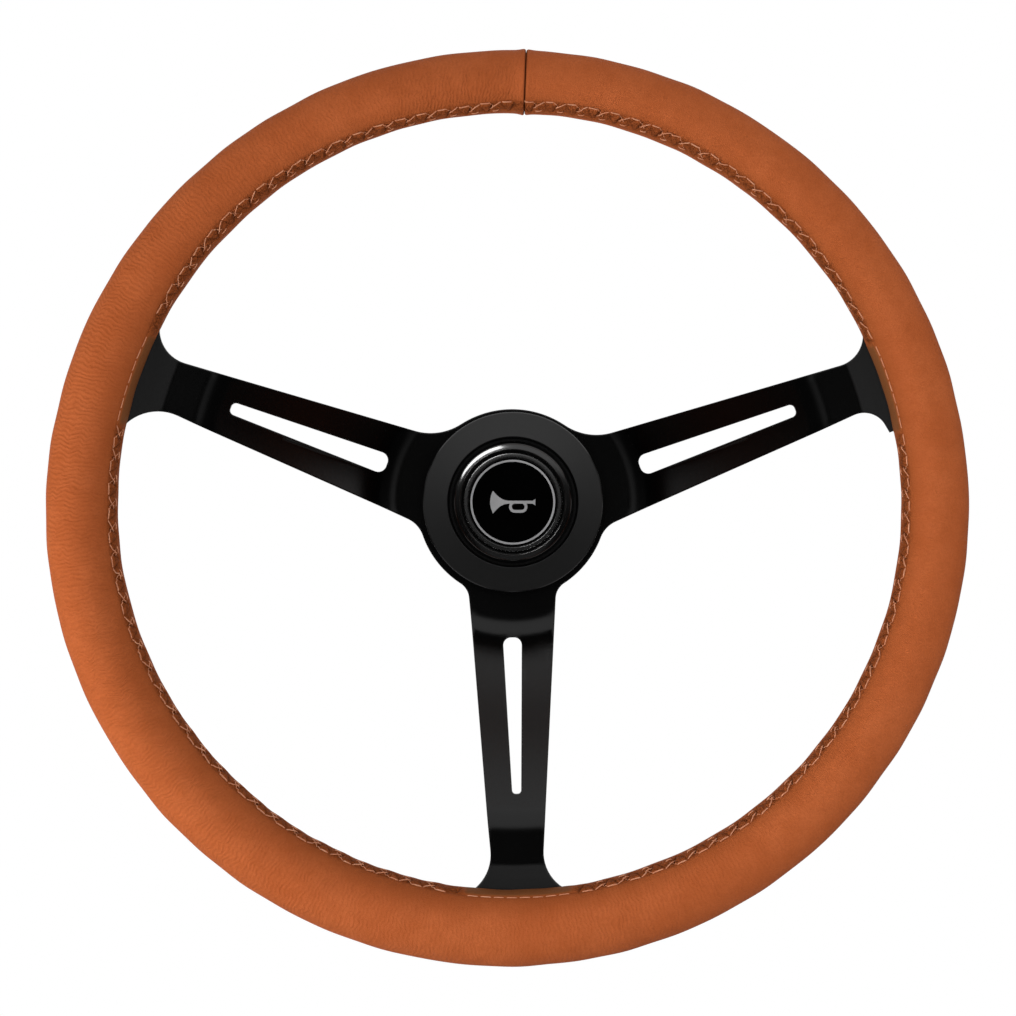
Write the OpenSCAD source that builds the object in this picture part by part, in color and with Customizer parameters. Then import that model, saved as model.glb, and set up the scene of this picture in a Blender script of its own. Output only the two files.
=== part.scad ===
// Car steering wheel with three slotted spokes, a leather grip and a horn button.
// Each piece is drawn with its axis along +Z, towards the driver, and then stood upright.
// The origin is the centre of the hub's rear face, where the wheel meets the column.

/* [Rim] */
// Diameter over the grip
rim_d = 381; // [350:1:400]
// Diameter of the grip's section
grip_d = 29; // [27:0.5:33]
// Thickness of the leather
leather_t = 1.3; // [1:0.1:1.8]
// Diameter of the steel hoop inside the grip
core_d = 10; // [8:0.5:12]
// Distance from the hub's rear face to the rim's middle plane
dish = 75; // [50:1:90]
// Place of the long seam, in degrees from the grip's innermost line towards the driver
seam_angle = 33; // [25:1:60]
// Width of the long seam at the leather's surface
seam_w = 1.6; // [0.8:0.1:2.4]
// Width of the joint between the two ends of the leather
end_joint_w = 0.6; // [0.3:0.1:1.2]
// Place of that joint, in degrees clockwise from the top
end_joint_angle = 2.25; // [0:0.25:20]

/* [Spoke plate] */
// Thickness of the pressed steel
plate_t = 3; // [2.5:0.1:3.6]
// Width of the hub disc's edge that shows round the centre ring
hub_edge = 0.8; // [0.2:0.1:4]
// Width of a spoke at the hub bend
spoke_root_w = 34.6; // [28:0.2:38]
// Width of a spoke at its fold
spoke_tip_w = 20.8; // [16:0.2:26]
// Rise of the side spokes above the horizontal, in degrees
side_angle = 20.5; // [10:0.5:30]
// Distance that the side spokes' centre lines pass below the hub's centre
side_drop = 4.2; // [0:0.1:6]
// Radius at which the spokes bend forward
hub_bend_at = 55; // [52:0.5:60]
// Length of the flat stretch between the outer bend and the fold
tip_flat = 18; // [14:0.5:28]
// Radius of both bends, at the middle of the sheet
bend_r = 13; // [6:0.5:16]
// Length of the flared end, from its fold to the middle of the grip
flare_len = 26; // [24:0.5:30]
// Inner radius of the fold
fold_inner_r = 0.6; // [0.4:0.1:1.2]
// Forward tilt of the flared end, in degrees
flare_tilt = 7; // [2:1:12]
// Half width of a flared end
flare_w = 20.5; // [17:0.5:24]
// Half width of a side spoke's flared end, on its upper side
flare_upper_w = 17.5; // [15:0.5:22]
// Radius of the curve that leads into the flared end
flare_r = 17; // [14:0.5:30]
// Radius of the fillet between the hub disc and a spoke
root_fillet = 12; // [6:0.5:16]
// Radius of the weld beads between a flared end and the hoop
weld_r = 2.55; // [2.2:0.05:3.2]
// Distance from the ends of a weld bead to the sides of the flared end
weld_inset = 2; // [1:0.5:5]

/* [Spoke slots] */
// Distance from the hub bend to the start of a side slot
slot_start = 0; // [-1:0.5:11]
// Distance from the end of a slot to the outer bend
slot_end = 8; // [6:0.5:32]
// Width of a side slot near the hub
slot_in_w = 8.8; // [7:0.2:11]
// Width of a side slot near the rim
slot_out_w = 5.2; // [4.6:0.2:8]
// Distance from the hub bend to the start of the bottom slot
low_slot_start = 2.5; // [-1:0.5:11]
// Width of the bottom slot near the hub
low_slot_in_w = 7.4; // [6:0.2:10]
// Width of the bottom slot near the rim
low_slot_out_w = 3.6; // [3.2:0.2:6]

/* [Hub holes] */
// Diameter of the circle on which the column bolts stand
bolt_pcd = 44.45; // [44:0.05:45.4]
// Diameter of the column bolts' holes
bolt_hole_d = 5.2; // [4.4:0.1:6]
// Height left free for the heads of the column bolts
bolt_head_h = 3.5; // [2.5:0.1:4.5]
// Distance from a bolt's axis to the wall of the retainer cup
bolt_room = 3.7; // [3.4:0.1:4.5]
// Diameter of the hole in the middle of the hub
hub_bore_d = 32; // [31.6:0.1:33.6]

/* [Centre ring] */
// Width of the ring's face
ring_face_w = 11.1; // [10.7:0.1:14]
// Height above the spoke plate
ring_h = 12; // [11:0.5:16]
// Chamfer along both upper edges
ring_chamfer = 1.1; // [0.4:0.1:2]
// Diameter of the ring's screws
ring_screw_d = 4; // [3:0.1:4.4]
// Depth of the screws in the ring
ring_screw_bite = 7; // [4:0.5:9]

/* [Horn button] */
// Gap between the button and the centre ring
button_gap = 2.3; // [0.8:0.1:3.5]
// Travel of the button
travel = 1.8; // [1:0.1:2.6]
// Width of the button's polished rim
button_rim_w = 2.7; // [2.2:0.1:3.4]
// Depth of the recess inside that rim
button_recess = 2.5; // [2:0.1:3.5]
// Thickness of the button's face
button_t = 2.2; // [1.6:0.1:3]
// Width of the groove round the insert
groove_w = 1.2; // [0.6:0.1:1.8]
// Width of the insert's raised border
insert_rim_w = 1.9; // [1.2:0.1:3]
// Height of the insert's border
insert_h = 2; // [1.6:0.1:2.4]
// Thickness of the printed disc
badge_t = 0.6; // [0.3:0.1:0.8]

/* [Horn switch] */
// Thickness of the retainer cup's sheet
cup_t = 1; // [0.8:0.1:1.2]
// Thickness of the cup's wall, which holds the snap ring
cup_wall_t = 1.1; // [1:0.1:1.4]
// Thickness of the snap ring
snap_t = 0.8; // [0.6:0.1:1.2]
// Height of the insulating carrier
carrier_h = 2.4; // [2:0.1:3]
// Thickness of the brass contacts
contact_t = 0.8; // [0.5:0.1:1]
// Width of the fixed contact ring
contact_w = 4.1; // [3.8:0.1:4.4]
// Height of the moving contact's dimples
dimple_h = 0.6; // [0.5:0.05:1]
// Diameter of the horn spring's wire
wire_d = 0.8; // [0.5:0.1:1]
// Turns of the horn spring
spring_turns = 4; // [3:0.5:5]
// Width of the blade for the horn lead
blade_w = 6.3; // [4.8:0.1:6.6]

/* [Hidden] */
// Gap between pieces that are bonded or screwed together round a curve
fit_gap = 0.1;
// Gap between the leather or foam and the steel that passes through it
pass_gap = 0.3;
// Gap round the column bolts in the floor of the retainer cup
bolt_gap = 0.5;
// Gap left where a moving piece meets its stop
stop_gap = 0.05;
// Room beyond the end of the travel
spare = 0.6;
// Overlap of cutting solids past the faces that they cut
cut = 1;
// Points along each bend or rounded corner
corner_steps = 8;
$fn = 96;

// Rim
grip_r = grip_d / 2;
rim_r = rim_d / 2 - grip_r;
core_r = core_d / 2;
foam_r = grip_r - leather_t - fit_gap;
inner_line = rim_r - grip_r;

// Bolt circle, retainer cup and centre ring, each set round the one before
cup_bore_r = bolt_pcd / 2 + bolt_room;
cup_r = cup_bore_r + cup_wall_t;
ring_bore_r = cup_r + pass_gap;
ring_r = ring_bore_r + ring_face_w;
hub_r = ring_r + hub_edge;

// Spoke plate, seen from the side: the middle of the sheet runs through these corners
fold_at = rim_r - flare_len;
tip_bend_at = fold_at - tip_flat;
flat_z = dish - flare_len * tan(flare_tilt);
tip_reach = core_r + pass_gap;
flare_end = [rim_r - tip_reach * cos(flare_tilt), dish - tip_reach * sin(flare_tilt)];
fold_r = plate_t / 2 + fold_inner_r;
sheet_corners = [
    [0, plate_t / 2],
    [hub_bend_at, plate_t / 2],
    [tip_bend_at, flat_z],
    [fold_at, flat_z],
    flare_end
];
sheet_bends = [0, bend_r, bend_r, fold_r, 0];

// Each spoke: direction, place of the hub's centre beside its own centre line,
// half widths of the flared end on its left and right, and its slot
slot_to = tip_bend_at - slot_end;
slot = [hub_bend_at + slot_start, slot_in_w, slot_out_w];
low_slot = [hub_bend_at + low_slot_start, low_slot_in_w, low_slot_out_w];
spokes = [
    [side_angle, side_drop, flare_upper_w, flare_w, slot],
    [180 - side_angle, -side_drop, flare_w, flare_upper_w, slot],
    [270, 0, flare_w, flare_w, low_slot]
];

// Centre ring and its screws
ring_top = plate_t + ring_h;
cup_lip_r = ring_bore_r + 1.8;
lip_room_r = cup_lip_r + pass_gap;
ring_screw_at = (lip_room_r + ring_r) / 2;
ring_screw_r = ring_screw_d / 2;
screw_head_r = ring_screw_r * 1.95;
head_flush = 0.1;
screw_angles = [30, 150, 270];
bolt_angles = [90, 210, 330];

// Retainer cup
cup_floor = plate_t + cup_t;

// Button, measured along its travel
flange_z = cup_floor + bolt_head_h + travel + spare;
flange_t = 1.05;
flange_r = cup_bore_r - 0.35;
skirt_r = flange_r - 1.15;
skirt_t = 1.5;
snap_z = flange_z + flange_t + stop_gap;
snap_groove = 0.55;
snap_r = cup_bore_r + snap_groove - fit_gap;
snap_bore_r = skirt_r + 0.5;
cup_top = snap_z + snap_t + stop_gap + cup_t;
button_r = ring_bore_r - button_gap;
shoulder_z = snap_z + snap_t + travel + spare;

// Horn switch, from the cup's floor upwards
ring_seat_z = cup_floor + carrier_h;
ring_contact_z = ring_seat_z + contact_t;
carrier_r = hub_bore_d / 2 - pass_gap;
contact_r = carrier_r - 0.4;
contact_bore_r = contact_r - contact_w;
contact_mid_r = (contact_r + contact_bore_r) / 2;
rivet_r = 1.25;
rivet_head_r = 1.8;
rivet_head_h = 0.4;
rivet_sink = 0.8;
small_screw_r = 1;
small_head_r = 1.8;
small_head_h = 1;
carrier_screw_at = carrier_r - 3;
dimple_z = ring_contact_z + travel + stop_gap;
disc_z = dimple_z + dimple_h;
disc_top = disc_z + contact_t;
dimple_r = 1.5;
post_at = contact_bore_r - small_head_r - 0.25;
spring_r = post_at - small_head_r - 0.35;
carrier_bore_r = spring_r + 1.2;
collar_t = 0.8;
collar_h = 1.5;
collar_r = spring_r - wire_d - 0.9 - collar_t;
post_r = 2.2;
post_h = 3;
face_z = max(disc_top + post_h, shoulder_z - button_t / 2);
seat_z = face_z + button_t;
crest_z = seat_z + button_recess;
recess_r = button_r - button_rim_w;
insert_r = recess_r - groove_w;
insert_t = insert_h - badge_t - 0.6;
insert_bore_r = insert_r - insert_rim_w;
badge_r = insert_bore_r - pass_gap;

// Blade for the horn lead
foot_z = cup_floor - contact_t;
foot_from = contact_bore_r - pass_gap;
blade_z = 0.8;
blade_tip = 2.5;
blade_chamfer = 1.2;
window_gap = 0.45;

// Heading of the line from a to b
function heading(a, b) = atan2(b[1] - a[1], b[0] - a[0]);

// Unit vector to the left of a heading
function left_of(h) = [-sin(h), cos(h)];

// Change of heading at corner p, between -180 and 180 degrees
function turn_at(a, p, b) = let (d = heading(p, b) - heading(a, p))
    d > 180 ? d - 360 : d < -180 ? d + 360 : d;

// Rounded corner p between a and b, as a list of [point, heading]
function corner(a, p, b, r) =
    let (turn = turn_at(a, p, b), h0 = heading(a, p), side = turn < 0 ? -1 : 1,
        start = p - r * tan(abs(turn) / 2) * [cos(h0), sin(h0)],
        centre = start + side * r * left_of(h0))
    [for (k = [0:corner_steps])
        let (h = h0 + turn * k / corner_steps)
        [centre - side * r * left_of(h), h]];

// Points and headings of an open line with rounded corners
function rounded_line(points, radii) =
    let (last = len(points) - 1)
    concat(
        [[points[0], heading(points[0], points[1])]],
        [for (i = [1:last - 1]) each corner(points[i - 1], points[i], points[i + 1], radii[i])],
        [[points[last], heading(points[last - 1], points[last])]]
    );

// Outline of a sheet of thickness t along such a line
function sheet_outline(line, t) = concat(
    [for (p = line) p[0] - t / 2 * left_of(p[1])],
    [for (i = [len(line) - 1:-1:0]) line[i][0] + t / 2 * left_of(line[i][1])]
);

// Closed outline with every corner rounded by its own radius
function rounded_outline(points, radii) =
    let (n = len(points))
    [for (i = [0:n - 1]) each
        [for (p = corner(points[(i + n - 1) % n], points[i], points[(i + 1) % n], radii[i])) p[0]]];

// Arc of radius r from a to b, with its centre to the left of the way from a to b
function arc_to(a, b, r, steps) =
    let (half = norm(b - a) / 2, h = heading(a, b),
        centre = (a + b) / 2 + sqrt(r * r - half * half) * left_of(h),
        from = heading(centre, a), sweep = 2 * asin(half / r))
    [for (k = [0:steps]) centre + r * [cos(from + sweep * k / steps), sin(from + sweep * k / steps)]];

// Left edge of a spoke, from the hub disc to the end of its flare, with the spoke along +X
function spoke_edge(hub_y, flare) =
    let (root = [hub_bend_at, spoke_root_w / 2], tip = [fold_at, spoke_tip_w / 2],
        h = heading(root, tip), along = [cos(h), sin(h)], out = left_of(h),
        hub = [0, hub_y], line = root * out,
        off = line + root_fillet - hub * out,
        reach = hub_r + root_fillet,
        centre_along = hub * along + sqrt(reach * reach - off * off),
        centre = centre_along * along + (line + root_fillet) * out,
        on_hub = hub + (centre - hub) * hub_r / reach,
        on_edge = centre_along * along + line * out,
        wide = [inner_line, flare])
    concat(
        arc_to(on_hub, on_edge, root_fillet, corner_steps),
        arc_to(tip, wide, flare_r, corner_steps),
        [[rim_r, flare]]
    );

// Outline of one spoke along +X
module spoke_outline(s) {
    left = spoke_edge(s[1], s[2]);
    right = [for (p = spoke_edge(-s[1], s[3])) [p[0], -p[1]]];
    polygon(concat(left, [for (i = [len(right) - 1:-1:0]) right[i]]));
}

// Slot of one spoke along +X, tapered and with rounded ends
module slot_outline(s) {
    inner = s[1] / 2;
    outer = s[2] / 2;
    polygon(rounded_outline(
        [[s[0], -inner], [slot_to, -outer], [slot_to, outer], [s[0], inner]],
        [inner * 0.8, outer * 0.8, outer * 0.8, inner * 0.8]
    ));
}

// Puts a shape that is drawn along a spoke into its place
module along_spoke(s) {
    rotate([0, 0, s[0]])
        translate([0, -s[1], 0])
            children();
}

// Puts a shape at a radius and an angle round the axis
module at(r, angle) {
    rotate([0, 0, angle])
        translate([r, 0, 0])
            children();
}

// Stands a piece up, with its +Z axis towards the driver
module upright() {
    rotate([90, 0, 0])
        children();
}

// Hole or pin along the axis between two heights
module bar(r, z0, z1) {
    translate([0, 0, z0])
        cylinder(r = r, h = z1 - z0);
}

// Flat ring between two heights
module washer(r_out, r_in, z0, z1) {
    difference() {
        bar(r_out, z0, z1);
        bar(r_in, z0 - cut, z1 + cut);
    }
}

// Ring of the rim with the section that is drawn round the origin
module rim_sweep() {
    translate([0, 0, dish])
        rotate_extrude()
            translate([rim_r, 0])
                children();
}

// Section of the flared end near the hoop, larger all round by gap
module flare_section(gap) {
    rotate(flare_tilt)
        translate([-flare_len, -plate_t / 2 - gap])
            square([flare_len - tip_reach + gap, plate_t + 2 * gap]);
}

// Section of the two weld beads of a flared end
module bead_section(gap) {
    rotate(flare_tilt)
        translate([-core_r, 0])
            circle(r = weld_r + gap, $fn = 32);
}

// Plan of a flared end inside the grip, larger at its sides by gap
module flare_plan(s, gap) {
    along_spoke(s)
        translate([fold_at, -s[3] - gap])
            square([flare_len, s[2] + s[3] + 2 * gap]);
}

// Room for every flared end and, where asked for, its welds
module flare_rooms(with_beads) {
    for (s = spokes) {
        intersection() {
            rim_sweep() {
                union() {
                    flare_section(pass_gap);
                    if (with_beads) bead_section(pass_gap);
                }
            }
            linear_extrude(height = dish + grip_d)
                flare_plan(s, pass_gap);
        }
    }
}

// Countersunk screw for the centre ring, with a hexagon socket
module ring_screw() {
    difference() {
        union() {
            translate([0, 0, head_flush])
                cylinder(r1 = screw_head_r, r2 = ring_screw_r, h = screw_head_r - ring_screw_r);
            bar(ring_screw_r, screw_head_r / 2, plate_t + ring_screw_bite);
        }
        translate([0, 0, head_flush - cut])
            cylinder(r = ring_screw_r * 0.7, h = cut + ring_screw_r * 0.6, $fn = 6);
    }
}

// Small pan-head screw: head below z, shank above it
module small_screw(z, shank) {
    difference() {
        union() {
            bar(small_head_r, z - small_head_h, z);
            bar(small_screw_r, z - small_head_h / 2, z + shank);
        }
        translate([-small_head_r, -0.25, z - small_head_h - cut])
            cube([2 * small_head_r, 0.5, cut + small_head_h * 0.45]);
    }
}

// Rivet with its lower head under z0 and its upper head on z1
module rivet(z0, z1) {
    bar(rivet_r, z0 - rivet_head_h, z1 + rivet_head_h);
    bar(rivet_head_r, z0 - rivet_head_h, z0);
    bar(rivet_head_r, z1, z1 + rivet_head_h);
}

module spoke_plate() {
    line = rounded_line(sheet_corners, sheet_bends);
    color([0.05, 0.05, 0.055])
        upright()
            difference() {
                intersection() {
                    rotate_extrude()
                        polygon(sheet_outline(line, plate_t));
                    union() {
                        bar(hub_r, -cut, dish + cut);
                        for (s = spokes) {
                            along_spoke(s)
                                translate([0, 0, -cut])
                                    linear_extrude(height = dish + 2 * cut)
                                        spoke_outline(s);
                        }
                    }
                }
                for (s = spokes) {
                    along_spoke(s)
                        translate([0, 0, -cut])
                            linear_extrude(height = dish + 2 * cut)
                                slot_outline(s[4]);
                }
                bar(hub_bore_d / 2, -cut, plate_t + cut);
                for (a = bolt_angles) {
                    at(bolt_pcd / 2, a)
                        bar(bolt_hole_d / 2, -cut, plate_t + cut);
                }
                for (a = screw_angles) {
                    at(ring_screw_at, a) {
                        bar(ring_screw_r + fit_gap, -cut, plate_t + cut);
                        cylinder(
                            r1 = screw_head_r + fit_gap + head_flush,
                            r2 = ring_screw_r + fit_gap,
                            h = screw_head_r - ring_screw_r + head_flush
                        );
                    }
                }
            }
}

module rim_core() {
    color([0.45, 0.46, 0.48])
        upright()
            rim_sweep()
                circle(r = core_r, $fn = 48);
}

module weld_beads() {
    color([0.5, 0.5, 0.52])
        upright()
            for (s = spokes) {
                intersection() {
                    rim_sweep()
                        difference() {
                            bead_section(0);
                            circle(r = core_r + fit_gap, $fn = 48);
                            flare_section(fit_gap);
                        }
                    linear_extrude(height = dish + grip_d)
                        flare_plan(s, -weld_inset);
                }
            }
}

module foam_grip() {
    color([0.2, 0.2, 0.2])
        upright()
            difference() {
                rim_sweep()
                    difference() {
                        circle(r = foam_r, $fn = 48);
                        circle(r = core_r + fit_gap, $fn = 48);
                    }
                flare_rooms(true);
            }
}

module leather_cover() {
    mouth = seam_w / 2;
    root = mouth / 3;
    under = grip_r - leather_t;
    color([0.63, 0.31, 0.15])
        upright()
            difference() {
                rim_sweep()
                    difference() {
                        circle(r = grip_r, $fn = 64);
                        circle(r = under, $fn = 64);
                        rotate(180 - seam_angle)
                            polygon([
                                [under - cut, -root],
                                [grip_r + cut, -mouth],
                                [grip_r + cut, mouth],
                                [under - cut, root]
                            ]);
                    }
                flare_rooms(false);
                rotate([0, 0, 90 - end_joint_angle])
                    translate([inner_line - cut, -end_joint_w / 2, dish - grip_r - cut])
                        cube([grip_d + 2 * cut, end_joint_w, grip_d + 2 * cut]);
            }
}

module centre_ring() {
    c = ring_chamfer;
    color([0.13, 0.13, 0.13])
        upright()
            difference() {
                rotate_extrude()
                    polygon([
                        [lip_room_r, plate_t],
                        [ring_r, plate_t],
                        [ring_r, ring_top - c],
                        [ring_r - c, ring_top],
                        [ring_bore_r + c, ring_top],
                        [ring_bore_r, ring_top - c],
                        [ring_bore_r, cup_floor + stop_gap],
                        [lip_room_r, cup_floor + stop_gap]
                    ]);
                for (a = screw_angles) {
                    at(ring_screw_at, a)
                        bar(ring_screw_r + fit_gap, plate_t - cut, plate_t + ring_screw_bite + 1);
                }
            }
}

module ring_screws() {
    color([0.3, 0.3, 0.31])
        upright()
            for (a = screw_angles) {
                at(ring_screw_at, a)
                    ring_screw();
            }
}

module retainer_cup() {
    color([0.16, 0.16, 0.17])
        upright()
            difference() {
                rotate_extrude()
                    polygon([
                        [collar_r, plate_t],
                        [cup_lip_r, plate_t],
                        [cup_lip_r, cup_floor],
                        [cup_r, cup_floor],
                        [cup_r, cup_top],
                        [cup_bore_r, cup_top],
                        [cup_bore_r, snap_z + snap_t + stop_gap],
                        [cup_bore_r + snap_groove, snap_z + snap_t + stop_gap],
                        [cup_bore_r + snap_groove, snap_z - stop_gap],
                        [cup_bore_r, snap_z - stop_gap],
                        [cup_bore_r, cup_floor],
                        [collar_r + collar_t, cup_floor],
                        [collar_r + collar_t, cup_floor + collar_h],
                        [collar_r, cup_floor + collar_h]
                    ]);
                for (a = bolt_angles) {
                    at(bolt_pcd / 2, a)
                        bar(bolt_hole_d / 2 + bolt_gap, plate_t - cut, cup_floor + cut);
                }
                for (a = screw_angles) {
                    at(carrier_screw_at, a)
                        bar(small_screw_r + fit_gap, plate_t - cut, cup_floor + cut);
                }
                translate([-blade_w / 2 - window_gap, foot_from - contact_t - window_gap, plate_t - cut])
                    cube([blade_w + 2 * window_gap, carrier_r - foot_from + contact_t + window_gap, cup_t + 2 * cut]);
            }
}

module snap_ring() {
    gap_angle = 24;
    color([0.55, 0.55, 0.57])
        upright()
            rotate([0, 0, 90 + gap_angle / 2])
                rotate_extrude(angle = 360 - gap_angle)
                    translate([snap_bore_r, snap_z])
                        square([snap_r - snap_bore_r, snap_t]);
}

module contact_carrier() {
    color([0.85, 0.83, 0.76])
        upright()
            difference() {
                washer(carrier_r, carrier_bore_r, cup_floor, ring_seat_z);
                for (a = screw_angles) {
                    at(carrier_screw_at, a)
                        bar(small_screw_r + fit_gap, cup_floor - cut, ring_seat_z - spare + fit_gap);
                }
                for (a = bolt_angles) {
                    at(contact_mid_r, a)
                        bar(rivet_r + fit_gap, cup_floor - cut, ring_seat_z + cut);
                }
                for (a = [bolt_angles[1], bolt_angles[2]]) {
                    at(contact_mid_r, a)
                        bar(rivet_head_r + fit_gap, cup_floor - cut, cup_floor + rivet_sink);
                }
            }
}

module carrier_screws() {
    color([0.6, 0.6, 0.62])
        upright()
            for (a = screw_angles) {
                at(carrier_screw_at, a)
                    small_screw(plate_t, cup_t + carrier_h - spare);
            }
}

module fixed_contact() {
    color([0.8, 0.62, 0.25])
        upright()
            difference() {
                washer(contact_r, contact_bore_r, ring_seat_z, ring_contact_z);
                for (a = bolt_angles) {
                    at(contact_mid_r, a)
                        bar(rivet_r + fit_gap, ring_seat_z - cut, ring_contact_z + cut);
                }
            }
}

module contact_rivets() {
    color([0.75, 0.58, 0.25])
        upright()
            for (a = [bolt_angles[1], bolt_angles[2]]) {
                at(contact_mid_r, a)
                    rivet(cup_floor + rivet_sink, ring_contact_z);
            }
}

module terminal_rivet() {
    color([0.75, 0.58, 0.25])
        upright()
            at(contact_mid_r, bolt_angles[0])
                rivet(foot_z, ring_contact_z);
}

module terminal_tab() {
    half = blade_w / 2;
    c = blade_chamfer;
    riser = foot_from - contact_t;
    color([0.8, 0.62, 0.25])
        upright()
            difference() {
                union() {
                    translate([-half, riser, foot_z])
                        cube([blade_w, contact_r - 0.5 - riser, contact_t]);
                    translate([-half, riser, blade_z])
                        cube([blade_w, contact_t, cup_floor - blade_z]);
                    translate([0, 0, blade_z])
                        linear_extrude(height = contact_t)
                            polygon([
                                [-half, foot_from],
                                [-half, blade_tip + c],
                                [-half + c, blade_tip],
                                [half - c, blade_tip],
                                [half, blade_tip + c],
                                [half, foot_from]
                            ]);
                }
                at(contact_mid_r, bolt_angles[0])
                    bar(rivet_r + fit_gap, foot_z - cut, cup_floor + cut);
                at((foot_from + blade_tip) / 2, bolt_angles[0])
                    bar(0.9, blade_z - cut, blade_z + contact_t + cut);
            }
}

module horn_spring() {
    sides = 8;
    per_turn = 20;
    rings = per_turn * spring_turns;
    mean_r = spring_r - wire_d / 2;
    rise = disc_z - cup_floor - wire_d - 2 * stop_gap;
    dead = 0.75;
    live = spring_turns - 2 * dead;
    pitch = (rise - 2 * dead * wire_d) / live;
    function height(turn) = turn < dead ? turn * wire_d
        : turn > spring_turns - dead ? rise - (spring_turns - turn) * wire_d
        : dead * wire_d + (turn - dead) * pitch;
    points = [for (i = [0:rings], k = [0:sides - 1])
        let (a = 360 * i / per_turn, b = 360 * k / sides,
            r = mean_r + wire_d / 2 * cos(b),
            z = cup_floor + stop_gap + wire_d / 2 + height(i / per_turn) + wire_d / 2 * sin(b))
        [r * cos(a), r * sin(a), z]];
    walls = [for (i = [0:rings - 1], k = [0:sides - 1])
        let (n = (k + 1) % sides)
        [i * sides + k, (i + 1) * sides + k, (i + 1) * sides + n, i * sides + n]];
    ends = [
        [for (k = [0:sides - 1]) k],
        [for (k = [sides - 1:-1:0]) rings * sides + k]
    ];
    color([0.7, 0.7, 0.72])
        upright()
            polyhedron(points, concat(walls, ends));
}

module moving_contact() {
    color([0.8, 0.62, 0.25])
        upright()
            difference() {
                union() {
                    washer(contact_r - 0.2, collar_r - 1, disc_z, disc_top);
                    for (a = screw_angles) {
                        at(contact_mid_r, a)
                            translate([0, 0, dimple_z])
                                cylinder(r1 = dimple_r / 2, r2 = dimple_r, h = dimple_h + contact_t / 2);
                    }
                }
                for (a = bolt_angles) {
                    at(post_at, a)
                        bar(small_screw_r + fit_gap, disc_z - cut, disc_top + cut);
                }
            }
}

module contact_screws() {
    color([0.6, 0.6, 0.62])
        upright()
            for (a = bolt_angles) {
                at(post_at, a)
                    small_screw(disc_z, contact_t + post_h - spare);
            }
}

module button_cap() {
    outer_round = 1.7;
    inner_round = 0.6;
    crown = rounded_line(
        [[button_r, shoulder_z], [button_r, crest_z], [recess_r, crest_z], [recess_r, seat_z]],
        [0, outer_round, inner_round, 0]
    );
    color([0.02, 0.02, 0.02])
        upright()
            difference() {
                union() {
                    rotate_extrude()
                        polygon(concat(
                            [for (p = crown) p[0]],
                            [
                                [0, seat_z],
                                [0, face_z],
                                [skirt_r - skirt_t, face_z],
                                [skirt_r - skirt_t, flange_z],
                                [flange_r, flange_z],
                                [flange_r, flange_z + flange_t],
                                [skirt_r, flange_z + flange_t],
                                [skirt_r, shoulder_z]
                            ]
                        ));
                    for (a = bolt_angles) {
                        at(post_at, a)
                            bar(post_r, disc_top, face_z + button_t / 2);
                    }
                }
                for (a = bolt_angles) {
                    at(post_at, a)
                        bar(small_screw_r + fit_gap, disc_top - cut, disc_top + post_h - spare / 2);
                }
            }
}

module button_insert() {
    edge = 0.35;
    floor_z = seat_z + insert_t;
    top_z = seat_z + insert_h;
    color([0.03, 0.03, 0.03])
        upright()
            rotate_extrude()
                polygon([
                    [0, seat_z],
                    [insert_r, seat_z],
                    [insert_r, top_z - edge],
                    [insert_r - edge, top_z],
                    [insert_bore_r + edge, top_z],
                    [insert_bore_r, top_z - edge],
                    [insert_bore_r, floor_z],
                    [0, floor_z]
                ]);
}

module badge_disc() {
    color([0.04, 0.04, 0.04])
        upright()
            bar(badge_r, seat_z + insert_t, seat_z + insert_t + badge_t);
}

spoke_plate();
rim_core();
weld_beads();
foam_grip();
leather_cover();
centre_ring();
ring_screws();
retainer_cup();
snap_ring();
contact_carrier();
carrier_screws();
fixed_contact();
contact_rivets();
terminal_rivet();
terminal_tab();
horn_spring();
moving_contact();
contact_screws();
button_cap();
button_insert();
badge_disc();
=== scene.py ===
"""Looks of a car steering wheel: stitched leather grip, slotted steel spokes, centre ring and horn button."""
import math
import bmesh
import bpy
import numpy as np
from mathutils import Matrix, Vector
from mathutils.geometry import delaunay_2d_cdt


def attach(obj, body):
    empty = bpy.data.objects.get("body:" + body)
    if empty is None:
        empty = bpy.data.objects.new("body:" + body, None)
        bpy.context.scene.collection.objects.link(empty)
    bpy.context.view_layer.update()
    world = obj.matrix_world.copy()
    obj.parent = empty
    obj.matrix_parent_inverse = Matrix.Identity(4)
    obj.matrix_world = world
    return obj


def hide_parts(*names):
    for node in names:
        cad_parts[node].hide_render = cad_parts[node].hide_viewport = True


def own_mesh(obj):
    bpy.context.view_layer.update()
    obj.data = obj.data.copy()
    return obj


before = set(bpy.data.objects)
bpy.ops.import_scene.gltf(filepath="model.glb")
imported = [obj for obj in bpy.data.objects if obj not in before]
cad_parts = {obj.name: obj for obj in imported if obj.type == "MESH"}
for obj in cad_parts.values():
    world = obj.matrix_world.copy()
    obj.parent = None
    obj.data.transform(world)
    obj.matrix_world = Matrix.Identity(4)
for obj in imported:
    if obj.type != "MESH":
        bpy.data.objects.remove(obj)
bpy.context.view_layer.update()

scene = bpy.context.scene
chance = np.random.default_rng(27)

# Pieces are drawn in millimetres, with +x right, +y up and +z towards the driver. The camera, the lamps and
# the floor follow the frame's own axes.
MM = 0.001


def stand(points):
    """Millimetres of the drawing, as metres of the frame."""
    p = np.asarray(points, float)
    return np.stack([p[..., 0], -p[..., 2], p[..., 1]], axis=-1) * MM


# Materials


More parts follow.
